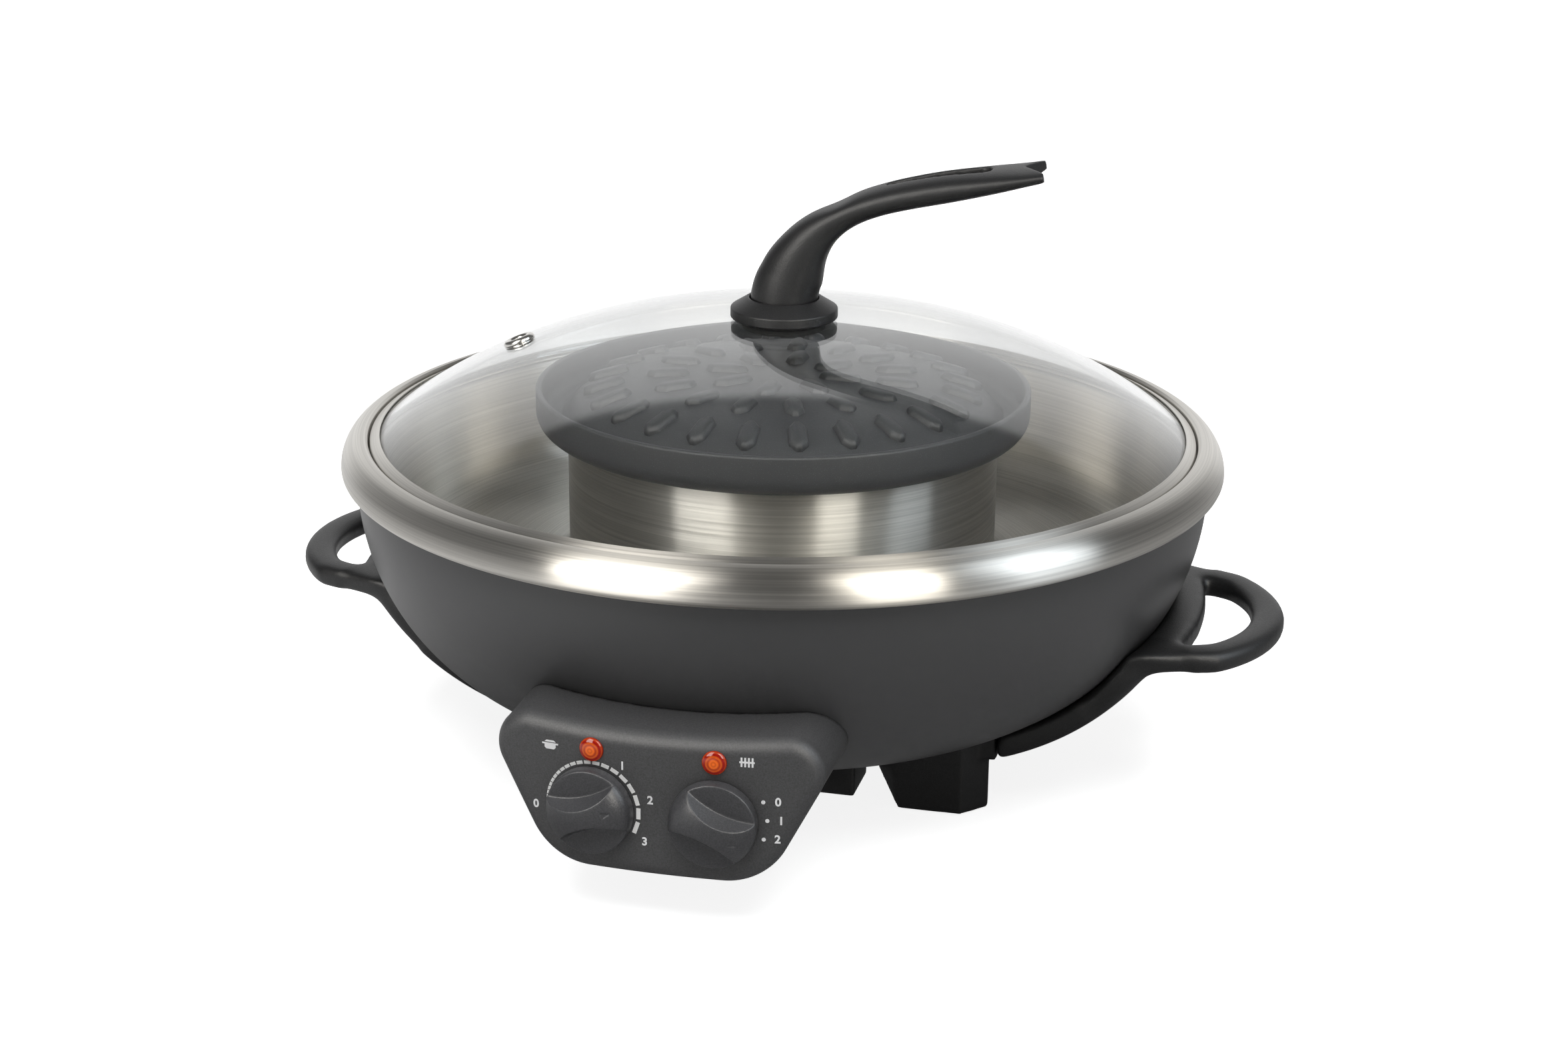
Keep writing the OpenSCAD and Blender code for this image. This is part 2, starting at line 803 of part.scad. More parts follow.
// A thin slice of the panel's outline at the distance y from the axis, drawn in by o
module panel_slice(y, o) {
    for (s = [-1, 1], c = [[panel_top_x, panel_top_z, panel_top_r], [panel_low_x, panel_low_z, panel_low_r]])
        translate([s * c[0], -y, c[1]])
            rotate([90, 0, 0])
                cylinder(r = c[2] - o, h = eps, $fn = 40);
}

// The housing's outer form, drawn in by o on all sides
module panel_form(o) {
    intersection() {
        hull() {
            panel_slice(face_y - o, panel_round + o);
            panel_slice(face_y - panel_round * 0.35 - o, panel_round * 0.4 + o);
            panel_slice(face_y - panel_round * 1.3 - o, o);
            panel_slice(panel_back + o, o - panel_flare);
        }
        translate([0, face_axis_y, 0])
            cylinder(r = face_curve - o, h = rim_z, $fn = 180);
    }
}

module control_housing() {
    color(black_plastic)
    difference() {
        panel_form(0);
        panel_form(panel_wall);
        bowl_room(seat + 0.1);
        for (s = [-1, 1]) {
            on_face(s * knob_x, knob_z)
                translate([0, 0, -20])
                    cylinder(r = shaft_r + 1, h = 30);
            on_face(s * knob_x, lamp_z)
                translate([0, 0, -20])
                    cylinder(r = holder_r + run, h = 30);
            translate([s * housing_screw_x, -neck_y - 10, housing_screw_z])
                rotate([-90, 0, 0])
                    cylinder(r = housing_screw_r + run, h = 20);
        }
    }
}

module housing_screws() {
    color(zinc)
    for (s = [-1, 1])
        translate([s * housing_screw_x, tray_wall - neck_y, housing_screw_z])
            rotate([90, 0, 0])
                screw(housing_screw_r, tray_wall + panel_wall);
}

// A switch body behind the face, with a mounting bush and a bore for its shaft
module switch_body(x, size) {
    on_face(x, knob_z)
        difference() {
            union() {
                translate([-size[0] / 2, -size[1] / 2, -panel_wall - seat - size[2]])
                    cube(size);
                translate([0, 0, -panel_wall - seat - eps])
                    cylinder(r = shaft_r + 0.8, h = panel_wall + seat + eps);
            }
            translate([0, 0, -shaft_in - pass])
                cylinder(r = shaft_r + run, h = 40);
        }
}

module thermostat() {
    color(phenolic)
    switch_body(-knob_x, [28, 24, body_depth]);
}

module selector_switch() {
    color(phenolic)
    switch_body(knob_x, [26, 24, body_depth]);
}

module lamp_holders() {
    color([0.9, 0.88, 0.82])
    for (s = [-1, 1])
        on_face(s * knob_x, lamp_z)
            translate([0, 0, -holder_l]) {
                cylinder(r = holder_r, h = holder_l - 1);
                cylinder(r = holder_r + 1, h = holder_l - holder_neck);
            }
}

// A red lens: a low dome with a flange on the face and a short stem in the panel's hole
module lamp_lens(x) {
    color(lamp_red)
    on_face(x, lamp_z) {
        translate([0, 0, 0.1])
            rotate_extrude()
                polygon(concat([[0, 0]], [[lamp_r, 0]], arc(0, 0.5, lamp_r, 1.6, 0, 90, 6)));
        translate([0, 0, -1])
            cylinder(r = holder_r, h = 1.2);
    }
}

module pot_lamp_lens() {
    lamp_lens(-knob_x);
}

module grill_lamp_lens() {
    lamp_lens(knob_x);
}

module knob_shaft(x) {
    color(zinc)
    on_face(x, knob_z)
        translate([0, 0, -shaft_in])
            cylinder(r = shaft_r, h = shaft_in + knob_gap + shaft_out);
}

module thermostat_shaft() {
    knob_shaft(-knob_x);
}

module selector_shaft() {
    knob_shaft(knob_x);
}

// A domed knob with a waisted grip bar between two flats, and a sunk pointer at one end of the bar
module knob(x, turn) {
    flat_z = 6.1;
    grip_foot = 6.6;
    grip_r = 38;
    grip_lean = 3;
    pointer_x = 10.2;
    pointer_z = knob_skirt + (knob_h - knob_skirt) * sqrt(1 - pow(pointer_x / knob_r, 2));
    pointer_tilt = 27;
    color(black_plastic)
    on_face(x, knob_z)
        rotate([0, 0, turn])
            translate([0, 0, knob_gap])
                difference() {
                    rotate_extrude()
                        polygon(concat([[0, 0], [knob_r, 0]], arc(0, knob_skirt, knob_r, knob_h - knob_skirt, 0, 90, 14)));
                    for (s = [-1, 1])
                        translate([0, s * (grip_foot + grip_r), flat_z])
                            cylinder(r1 = grip_r, r2 = grip_r + grip_lean, h = knob_h - flat_z + eps);
                    translate([pointer_x, 0, pointer_z])
                        rotate([0, pointer_tilt, 0])
                            translate([0, 0, -0.4])
                                linear_extrude(2)
                                    polygon([[-2.2, -1.6], [2.4, 0], [-2.2, 1.6]]);
                    translate([0, 0, -1])
                        cylinder(r = shaft_r + 0.03, h = shaft_out + 1.3);
                }
}

module pot_knob() {
    knob(-knob_x, pot_knob_turn);
}

module grill_knob() {
    knob(knob_x, grill_knob_turn);
}

// Grill plate

// One raised rib along X with chamfered ends, standing on its own middle
module rib() {
    nose = grill_rib_w / 2;
    translate([0, 0, -3])
        linear_extrude(3 + grill_rib_h)
            polygon([[-grill_rib_l / 2, -nose / 3], [-grill_rib_l / 2 + nose, -grill_rib_w / 2],
                     [grill_rib_l / 2 - nose, -grill_rib_w / 2], [grill_rib_l / 2, -nose / 3],
                     [grill_rib_l / 2, nose / 3], [grill_rib_l / 2 - nose, grill_rib_w / 2],
                     [-grill_rib_l / 2 + nose, grill_rib_w / 2], [-grill_rib_l / 2, nose / 3]]);
}

module grill_plate() {
    color(cast_grey)
    union() {
        rotate_extrude()
            polygon(concat(
                [[0, grill_z]],
                arc(grill_r - grill_corner, grill_z + grill_corner, grill_corner, grill_corner, -90, 0, 8),
                arc(grill_r - grill_wall_t / 2, grill_lip_z - grill_wall_t / 2,
                    grill_wall_t / 2, grill_wall_t / 2, 0, 180, 8),
                [[grill_r - grill_wall_t, gutter_z + 2], [grill_r - grill_wall_t - 2, gutter_z],
                 [dome_r + grill_shoulder, gutter_z]],
                [for (i = [0 : dome_steps]) let (r = dome_r * sqrt(1 - i / dome_steps)) [r, dome_top(r)]]));
        for (k = [0 : len(grill_rib_rings) - 1], i = [0 : grill_rib_counts[k] - 1])
            rotate([0, 0, grill_rib_turns[k] + 360 * i / grill_rib_counts[k]])
                translate([grill_rib_rings[k], 0, dome_top(grill_rib_rings[k])])
                    rotate([0, atan(dome_fall(grill_rib_rings[k])), 0])
                        rib();
    }
}

// Lid

module lid_glass() {
    steps = 24;
    edge = [for (i = [0 : steps]) let (r = glass_r * (1 - i / steps)) [r, glass_top(r)]];
    color(clear_glass)
    difference() {
        rotate_extrude()
            polygon(concat(edge, [for (p = reverse(edge)) [p[0], p[1] - glass_t]]));
        translate([0, 0, rim_z])
            cylinder(r = glass_hole_r, h = rim_z);
        at_vent()
            translate([0, 0, -15])
                cylinder(r = vent_bore_r + 1 + run, h = 30);
    }
}

// Puts children on the glass at the vent, with z along the glass's normal
module at_vent() {
    rotate([0, 0, vent_angle])
        translate([vent_r, 0, glass_top(vent_r)])
            rotate([0, atan(glass_slope(vent_r)), 0])
                children();
}

module lid_vent() {
    slope_t = glass_t * cos(atan(glass_slope(vent_r)));
    color(steel)
    at_vent()
        translate([0, 0, -slope_t / 2])
            rotate_extrude()
                polygon(concat(
                    [[vent_bore_r, -slope_t / 2 - 1.2], [vent_bore_r + 3, -slope_t / 2 - 0.8],
                     [vent_bore_r + 3, -slope_t / 2 - 0.2], [vent_bore_r + 1, -slope_t / 2 - 0.2],
                     [vent_bore_r + 1, slope_t / 2 + 0.2]],
                    arc(vent_bore_r + vent_roll / 2, slope_t / 2 + 0.2, vent_roll / 2, 2, 0, 180, 8)));
}

module lid_band() {
    lip_in = 2.8;
    lip_z = glass_top(glass_r - lip_in) + seat;
    color(steel)
    rotate_extrude()
        polygon([[band_r, band_z], [band_r, glass_z + 0.8], [glass_r - lip_in, lip_z + 0.7],
                 [glass_r - lip_in, lip_z], [glass_r + seat, glass_z + 0.3],
                 [glass_r + seat, band_z + lid_band_t], [glass_r - lip_in - 1, band_z + lid_band_t],
                 [glass_r - lip_in - 1, band_z]]);
}

module lid_washers() {
    color([0.2, 0.2, 0.2])
    for (z = [crown_z, crown_z - glass_t - 2])
        translate([0, 0, z])
            difference() {
                cylinder(r = collar_r - 5, h = z == crown_z ? washer_t : 2 - seat);
                translate([0, 0, -1])
                    cylinder(r = lid_screw_r + pass, h = 5);
            }
}

module lid_collar() {
    color(black_plastic)
    difference() {
        translate([0, 0, collar_z])
            rotate_extrude()
                polygon([[0, 0], [collar_r - 0.8, 0], [collar_r, 0.8], [collar_r, collar_edge_h],
                         [post_r + 1.2, collar_h], [0, collar_h]]);
        translate([0, 0, collar_z - 1])
            cylinder(r = lid_screw_r + pass, h = 30);
        translate([0, 0, post_z - collar_well])
            cylinder(r = post_r + seat, h = 30);
    }
}

// Control points of the handle's middle line, in the plane of its sweep
handle_path = [[0, post_z - collar_well], [8, post_z + 46], [43, post_z + handle_rise - 14],
               [handle_reach, post_z + handle_rise]];
// Half thickness and half width along the handle, evenly spaced from the post to the tip
handle_half_t = [post_r, 13.5, 10.2, 7.4, 5.9, 5.5, 5.6, 5.5, 4.2, 2.6];
handle_half_w = [post_r, post_r - 0.8, 12.8, 11.6, 11.4, 12.2, 13.2, fork_half_w - 1.8, fork_half_w - 0.6, fork_half_w];
// One ring of the handle, square to its middle line: round and level at the post, a squarer oval along the arm
function handle_ring(t) =
    let (p = cubic(handle_path, t), ease = min(1, 10 * t), c = [p[0] * ease, p[1]],
         d = cubic_slope(handle_path, t), lean = [d[0] * ease, d[1]], n = lean / norm(lean),
         h = blend_list(handle_half_t, t), w = blend_list(handle_half_w, t), squareness = 1 - 0.15 * min(1, 4 * t))
    [for (i = [0 : handle_sides - 1])
        let (a = 360 * i / handle_sides, up = h * sign(sin(a)) * pow(abs(sin(a)), squareness),
             side = w * sign(cos(a)) * pow(abs(cos(a)), squareness))
        [c[0] - n[1] * up, side, c[1] + n[0] * up]];

// The swept form of the handle, before its eye and fork are cut
module handle_form() {
    rings = [for (k = [0 : handle_steps]) handle_ring(k / handle_steps)];
    points = [for (ring = rings, p = ring) p];
    sides = handle_sides;
    walls = [for (k = [0 : handle_steps - 1], i = [0 : sides - 1])
        let (a = k * sides + i, b = k * sides + (i + 1) % sides) each
            [[a, b, b + sides], [a, b + sides, a + sides]]];
    first = [for (i = [1 : sides - 2]) [0, i + 1, i]];
    tip = handle_steps * sides;
    last = [for (i = [1 : sides - 2]) [tip, tip + i, tip + i + 1]];
    polyhedron(points, concat(walls, first, last));
}

module lid_handle() {
    eye_far = handle_reach - 22;
    color(black_plastic)
    rotate([0, 0, lid_turn])
        difference() {
            handle_form();
            translate([0, 0, post_z + handle_rise / 2]) {
                translate([eye_far - eye_w / 2, 0, 0])
                    cylinder(r = eye_w / 2, h = handle_rise);
                linear_extrude(handle_rise)
                    polygon([[eye_far - eye_w / 2, eye_w / 2], [eye_far - eye_l + 2, 2], [eye_far - eye_l + 2, -2],
                             [eye_far - eye_w / 2, -eye_w / 2]]);
                translate([eye_far - eye_l + 2, 0, 0])
                    cylinder(r = 2, h = handle_rise);
            }
            translate([handle_reach - 8, 0, post_z + handle_rise / 2])
                linear_extrude(handle_rise)
                    polygon([[0, 0], [30, fork_half_w * 3], [30, -fork_half_w * 3]]);
            translate([0, 0, post_z - collar_well - 1])
                cylinder(r = lid_screw_r + run, h = lid_screw_in + 2);
        }
}

module lid_screw() {
    screw_z = crown_z - glass_t - 2;
    color(zinc)
    translate([0, 0, screw_z])
        screw(lid_screw_r, post_z - collar_well + lid_screw_in - screw_z);
}

base_tray();
base_cover();
cover_screws();
foot_pads();
left_handle();
right_handle();
handle_screws();
cord_gland();
terminal_block();
outer_bowl();
inner_pot();
pot_pedestal();
pot_studs();
stud_nuts();
heat_reflector();
pot_heater();
grill_heater();
heater_plate();
plate_studs();
plate_nuts();
thermal_cutout();
control_housing();
housing_screws();
thermostat();
selector_switch();
lamp_holders();
pot_lamp_lens();
grill_lamp_lens();
thermostat_shaft();
pot_knob();
selector_shaft();
grill_knob();
grill_plate();
lid_glass();
lid_band();
lid_vent();
lid_washers();
lid_collar();
lid_handle();
lid_screw();
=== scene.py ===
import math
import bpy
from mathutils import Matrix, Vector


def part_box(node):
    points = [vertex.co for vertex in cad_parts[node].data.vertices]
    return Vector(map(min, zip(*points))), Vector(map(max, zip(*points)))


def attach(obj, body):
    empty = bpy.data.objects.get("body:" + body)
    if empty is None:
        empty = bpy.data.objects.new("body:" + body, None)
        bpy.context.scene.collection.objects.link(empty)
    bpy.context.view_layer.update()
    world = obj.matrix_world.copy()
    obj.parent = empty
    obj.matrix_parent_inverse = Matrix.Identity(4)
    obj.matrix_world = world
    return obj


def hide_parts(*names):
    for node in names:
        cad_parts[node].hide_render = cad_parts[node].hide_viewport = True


bl_info = {
    "name": "Electric hot pot",
    "version": (1, 0, 0),
    "blender": (4, 5, 0),
    "location": "View3D > Sidebar > Hot pot",
    "description": "Dresses an electric hot pot with a grill plate and a lift-off glass lid",
    "category": "Add Mesh",
}

import bmesh
import bpy
from bpy.props import FloatProperty, FloatVectorProperty, IntProperty, PointerProperty
from mathutils import Matrix, Vector

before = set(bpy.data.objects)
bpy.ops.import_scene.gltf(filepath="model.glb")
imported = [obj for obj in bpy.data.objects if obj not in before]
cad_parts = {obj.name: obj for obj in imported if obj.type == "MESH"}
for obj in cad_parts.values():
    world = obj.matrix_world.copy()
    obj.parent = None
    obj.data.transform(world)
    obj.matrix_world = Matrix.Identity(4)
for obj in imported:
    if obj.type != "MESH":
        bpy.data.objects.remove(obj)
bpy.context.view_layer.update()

MM = 0.001
# Facets round a turned piece
TURN_STEPS = 192
# Direction of the camera round the pot, in degrees, and the level ways ahead of it and to its right
VIEW_TURN = 14
AHEAD = (-math.sin(math.radians(VIEW_TURN)), math.cos(math.radians(VIEW_TURN)), 0.0)
ASIDE = (AHEAD[1], -AHEAD[0], 0.0)


def srgb(code):
    """Linear red, green and blue of an sRGB hex colour."""
    parts = [int(code[i:i + 2], 16) / 255 for i in (1, 3, 5)]
    return tuple(p / 12.92 if p <= 0.04045 else ((p + 0.055) / 1.055) ** 2.4 for p in parts)


def length(name, description, size):
    """A size of the object in metres."""
    return FloatProperty(name=name, description=description, default=size, unit="LENGTH", precision=5)


def turn(name, description, degrees):
    """An angle of the object or the camera."""
    return FloatProperty(name=name, description=description, default=math.radians(degrees), unit="ROTATION")


def shape(name, description, value):
    """A number without a unit."""
    return FloatProperty(name=name, description=description, default=value)


def tint(name, description, code):
    """A surface colour."""
    return FloatVectorProperty(name=name, description=description, default=srgb(code), subtype="COLOR",
                               min=0, max=1)


class HotPotSizes(bpy.types.PropertyGroup):
    """Sizes of the bowl, the pot and the grill plate"""

    rim_r: length("Rim radius", "Outer radius of the rolled rim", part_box("inner_pot")[1].x)
    rim_z: length("Rim height", "Height of the rim's widest line", 134 * MM)
    roll_w: length("Roll width", "How far the roll stands out from its middle", 10.6 * MM)
    roll_up: length("Roll rise", "Height of the roll above its widest line", 12.4 * MM)
    roll_down: length("Roll drop", "Depth of the roll below its widest line", 4.5 * MM)
    bowl_r: length("Bowl radius", "Outer radius of the painted bowl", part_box("outer_bowl")[1].x)
    bowl_top: length("Bowl top", "Height where the bowl's curve starts", 130 * MM)
    bowl_depth: length("Bowl depth", "Depth of the bowl's curve", 107.6 * MM)
    bowl_side: shape("Bowl side", "Fullness of the bowl's side, 2 is an ellipse", 3.4)
    bowl_floor: shape("Bowl floor", "Fullness of the bowl's bottom, 2 is an ellipse", 2.04)
    bowl_hole_r: length("Bowl hole", "Radius of the hole in the bowl's bottom", 46 * MM)
    ledge_z: length("Ledge height", "Height of the lid's ledge", 138.5 * MM)
    ledge_w: length("Ledge width", "Width of the lid's ledge", 7 * MM)
    pot_low_r: length("Pot floor radius", "Inner radius of the pot at its floor", 166 * MM)
    pot_floor: length("Pot floor height", "Height of the pot's floor", 86 * MM)
    pedestal_r: length("Pedestal radius", "Outer radius of the pedestal", 92.7 * MM)
    pedestal_top: length("Pedestal height", "Height of the pedestal's top", 145.7 * MM)
    arm_half_w: length("Arm", "Half width of a side handle's arm", 62 * MM)
    arm_hollow: length("Arm hollow", "Half width of the room between an arm's two ribs", 46 * MM)
    sheet: length("Sheet", "Thickness of the pressed sheet", 1.2 * MM)
    grill_r: length("Grill radius", "Outer radius of the grill plate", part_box("grill_plate")[1].x)
    grill_z: length("Grill underside", "Height of the grill plate's underside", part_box("grill_plate")[0].z)
    grill_wall: length("Grill wall", "Height of the grill plate's wall", 17.5 * MM)
    grill_corner: length("Grill corner", "Radius of the grill plate's lower corner", 7.5 * MM)
    dome_r: length("Dome radius", "Radius of the domed cooking face", 92.4 * MM)
    dome_rise: length("Dome rise", "Rise of the domed cooking face", 14 * MM)
    dome_bow: shape("Dome bow", "Share of the rise that falls evenly, the rest falls in the shoulder", 0.25)
    rib_l: length("Rib length", "Length of a rib", 18.4 * MM)
    rib_w: length("Rib width", "Width of a rib", 8.2 * MM)
    rib_h: length("Rib height", "Height of a rib above the dome", 2.3 * MM)


class LidSizes(bpy.types.PropertyGroup):
    """Sizes of the lid and its handle"""

    glass_r: length("Glass radius", "Radius of the glass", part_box("lid_glass")[1].x)
    glass_z: length("Glass edge", "Height of the glass's upper edge", 144.3 * MM)
    glass_rise: length("Glass rise", "Rise of the dome", 49.2 * MM)
    glass_power: shape("Glass fullness", "Fullness of the dome, 2 is a parabola", 2.5)
    glass_t: length("Glass thickness", "Thickness of the glass", 4 * MM)
    glass_hole_r: length("Screw hole", "Radius of the hole for the handle's screw", 5 * MM)
    band_r: length("Band radius", "Outer radius of the steel band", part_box("lid_band")[1].x)
    band_z: length("Band underside", "Height of the band's underside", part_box("lid_band")[0].z)
    vent_r: length("Vent distance", "Distance of the vent from the axis", 119 * MM)
    vent_turn: turn("Vent direction", "Direction of the vent from +X", 181)
    vent_bore: length("Vent bore", "Radius of the vent's hole", 3.4 * MM)
    vent_roll: length("Vent ring", "Width of the vent's rolled ring", 3.7 * MM)
    collar_z: length("Collar underside", "Height of the collar's underside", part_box("lid_collar")[0].z)
    collar_r: length("Collar radius", "Radius of the collar", 23 * MM)
    collar_h: length("Collar height", "Height of the collar", 9 * MM)
    post_r: length("Post radius", "Half width of the handle's post", 14.6 * MM)
    handle_turn: turn("Handle direction", "Direction of the handle from +X", 7)
    reach: length("Handle reach", "Distance of the handle's tip from the axis", 109 * MM)
    rise: length("Handle rise", "Height of the handle's tip above the collar", 58 * MM)
    hollow: length("Thumb hollow", "Depth of the thumb's hollow in the handle", 1.4 * MM)
    fork_w: length("Fork width", "Half width across the fork", 16 * MM)
    eye_l: length("Eye length", "Length of the eye", 44 * MM)
    eye_w: length("Eye width", "Width of the eye at its wide end", 10 * MM)


class PanelSizes(bpy.types.PropertyGroup):
    """Sizes of the control panel"""

    face_y: length("Face distance", "Distance of the face from the pot's axis", 200 * MM)
    face_curve: length("Face curve", "Radius of the face's bulge", 330 * MM)
    back_y: length("Back distance", "Distance of the housing's back from the axis", 120 * MM)
    round_r: length("Edge round", "Radius of the face's rounded edge", 6 * MM)
    flare: length("Flare", "How much the housing widens towards the bowl", -1 * MM)
    dip: length("Top dip", "Sag of the top edge in the middle", 2 * MM)
    wall: length("Wall", "Thickness of the housing", 2.6 * MM)
    knob_x: length("Knob distance", "Half distance between the knobs", 24.2 * MM)
    knob_z: length("Knob height", "Height of the knobs' centres", 49.8 * MM)
    knob_low: shape("Knob flatness", "Height of a knob as a share of its solid", 0.85)
    lamp_z: length("Lamp height", "Height of the lamps' centres", 74 * MM)
    lamp_r: length("Lamp radius", "Radius of a lamp lens", 4.8 * MM)
    dash_count: IntProperty(name="Dashes", description="Number of dashes in the heat scale", default=21,
                            min=2)
    dash_r: length("Dash radius", "Radius of the heat scale", 18.6 * MM)
    ink: length("Ink", "How far the print stands out of the face", 0.12 * MM)


class FinishColours(bpy.types.PropertyGroup):
    """Colours of the finishes"""

    enamel: tint("Enamel", "Satin black paint of the bowl", "#464647")
    plastic: tint("Black plastic", "Moulded plastic of the panel", "#434344")
    satin: tint("Satin plastic", "Smoother moulded plastic of the knobs", "#424244")
    # Painted shade: the panel's black plastic made darker, so that the side handles, the lid's handle and the
    # base look less lit
    shade_darkened_plastic: tint("Shade-darkened plastic", "Darker moulded plastic of the handles and the base", "#1b1b1c")
    steel: tint("Stainless steel", "Brushed steel of the pot", "#cfccc6")
    coating: tint("Non-stick", "Coating of the grill plate", "#2c2d2f")
    glass: tint("Glass", "Clear glass of the lid", "#fafbfb")
    lens: tint("Lamp lens", "Red lens of a lamp", "#9c1206")
    glow: tint("Lamp core", "Orange core of a lamp", "#f4701e")
    ink: tint("Print", "Pale print on the panel", "#f0f0ee")


class StageSettings(bpy.types.PropertyGroup):
    """Camera and floor"""

    azimuth: turn("Azimuth", "Direction of the camera round the pot", VIEW_TURN)
    distance: length("Distance", "Distance of the camera from the pot's axis", 1.2)
    height: length("Height", "Height of the camera above the table", 514.37 * MM)
    pan: turn("Pan", "Turn of the camera to the right", 0.0374)
    tilt: turn("Tilt", "Turn of the camera downwards", 18.9958)
    roll: turn("Roll", "Roll of the camera", 0.5362)
    lens: shape("Lens", "Focal length in millimetres on a 36 mm wide sensor", 66.466)
    floor: tint("Floor", "Pale floor", "#f2f2f2")


# Node trees


def wire(tree, node, inputs):
    """Gives sockets of a node their values, or links them to the sockets that feed them."""
    for name, value in inputs.items():
        if isinstance(value, bpy.types.NodeSocket):
            tree.links.new(value, node.inputs[name])
        else:
            node.inputs[name].default_value = value
    return node


def add(tree, kind, inputs=None, **settings):
    """Adds one node with its settings, and wires its sockets."""
    node = tree.nodes.new(kind)
    for name, value in settings.items():
        setattr(node, name, value)
    return wire(tree, node, inputs or {})


def start(name):
    """A new material: its tree, its shader and the place on the piece that its patterns follow."""
    material = bpy.data.materials.new(name)
    material.use_nodes = True
    tree = material.node_tree
    return tree, tree.nodes["Principled BSDF"], add(tree, "ShaderNodeTexCoord").outputs["Object"]


def rgba(colour):
    """A colour with full alpha, as a socket takes it."""
    return (*colour, 1.0)


def shade(colour, factor):
    """A colour made darker or lighter."""
    return (*[min(1.0, c * factor) for c in colour], 1.0)


# Finishes


def satin_enamel(colours):
    """Sprayed enamel on steel: even black, a broad soft sheen and a faint orange peel."""
    tree, shader, place = start("Satin black enamel")
    peel = add(tree, "ShaderNodeTexNoise", {"Vector": place, "Scale": 1 / (1.8 * MM), "Detail": 1.0})
    cloud = add(tree, "ShaderNodeTexNoise", {"Vector": place, "Scale": 1 / (45 * MM), "Detail": 2.0})
    gloss = add(tree, "ShaderNodeMapRange", {"Value": cloud.outputs["Fac"], "To Min": 0.36, "To Max": 0.43})
    bump = add(tree, "ShaderNodeBump", {"Height": peel.outputs["Fac"], "Strength": 0.06,
                                        "Distance": 0.1 * MM})
    wire(tree, shader, {"Base Color": rgba(colours.enamel), "Roughness": gloss.outputs["Result"],
                        "Normal": bump.outputs["Normal"], "IOR": 1.5})


def textured_plastic(name, colour, dull=0.56, clear=0.4):
    """Black polypropylene from a spark-eroded mould: a fine grain that breaks each highlight into sparks.
    The real grain is about 0.3 mm; it is drawn at 0.6 mm so that it still shows."""
    tree, shader, place = start(name)
    grain = add(tree, "ShaderNodeTexNoise", {"Vector": place, "Scale": 1 / (0.6 * MM), "Detail": 2.0})
    tone = add(tree, "ShaderNodeMix", {"Factor": grain.outputs["Fac"], "A": shade(colour, 0.5),
                                       "B": shade(colour, 1.6)}, data_type="RGBA")
    gloss = add(tree, "ShaderNodeMapRange", {"Value": grain.outputs["Fac"], "To Min": dull, "To Max": clear})
    bump = add(tree, "ShaderNodeBump", {"Height": grain.outputs["Fac"], "Strength": 0.5,
                                        "Distance": 0.14 * MM})
    wire(tree, shader, {"Base Color": tone.outputs["Result"], "Roughness": gloss.outputs["Result"],
                        "Normal": bump.outputs["Normal"], "IOR": 1.5})


def brushed_steel(colours):
    """Stainless steel brushed on a lathe: streaks run round the axis and stretch each reflection across them.
    The real scratches are about 0.1 mm; they are drawn at 0.7 mm so that they show."""
    tree, shader, place = start("Brushed stainless steel")
    flat = add(tree, "ShaderNodeVectorMath", {0: place, 1: (1.0, 1.0, 0.0)}, operation="MULTIPLY")
    radius = add(tree, "ShaderNodeVectorMath", {0: flat.outputs["Vector"]}, operation="LENGTH")
    round_about = add(tree, "ShaderNodeVectorMath", {0: flat.outputs["Vector"]}, operation="NORMALIZE")
    heading = add(tree, "ShaderNodeSeparateXYZ", {"Vector": round_about.outputs["Vector"]})
    spot = add(tree, "ShaderNodeSeparateXYZ", {"Vector": place})
    streaks = []
    for width, stretch in ((0.7 * MM, 1.2), (2.4 * MM, 0.9)):
        across = add(tree, "ShaderNodeMath", {0: radius.outputs["Value"], 1: 1 / width}, operation="MULTIPLY")
        along = add(tree, "ShaderNodeMath", {0: spot.outputs["Z"], 1: 1 / width}, operation="MULTIPLY")
        east = add(tree, "ShaderNodeMath", {0: heading.outputs["X"], 1: stretch}, operation="MULTIPLY")
        north = add(tree, "ShaderNodeMath", {0: heading.outputs["Y"], 1: stretch}, operation="MULTIPLY")
        point = add(tree, "ShaderNodeCombineXYZ", {"X": across.outputs[0], "Y": along.outputs[0],
                                                   "Z": east.outputs[0]})
        streak = add(tree, "ShaderNodeTexNoise", {"Vector": point.outputs["Vector"], "W": north.outputs[0],
                                                  "Scale": 1.0, "Detail": 2.0}, noise_dimensions="4D")
        streaks.append(streak.outputs["Fac"])
    fine, broad = streaks
    both = add(tree, "ShaderNodeMath", {0: fine, 1: broad}, operation="ADD")
    gloss = add(tree, "ShaderNodeMapRange", {"Value": both.outputs[0], "From Min": 0.6, "From Max": 1.4,
                                             "To Min": 0.29, "To Max": 0.38})
    tone = add(tree, "ShaderNodeMix", {"Factor": fine, "A": shade(colours.steel, 0.62),
                                       "B": shade(colours.steel, 1.36)}, data_type="RGBA")
    bump = add(tree, "ShaderNodeBump", {"Height": fine, "Strength": 0.12, "Distance": 0.05 * MM})
    grain = add(tree, "ShaderNodeTangent", direction_type="RADIAL", axis="Z")
    wire(tree, shader, {"Base Color": tone.outputs["Result"], "Metallic": 1.0,
                        "Roughness": gloss.outputs["Result"], "Normal": bump.outputs["Normal"],
                        "Tangent": grain.outputs["Tangent"], "Anisotropic": 1.0,
                        "Anisotropic Rotation": 0.25})


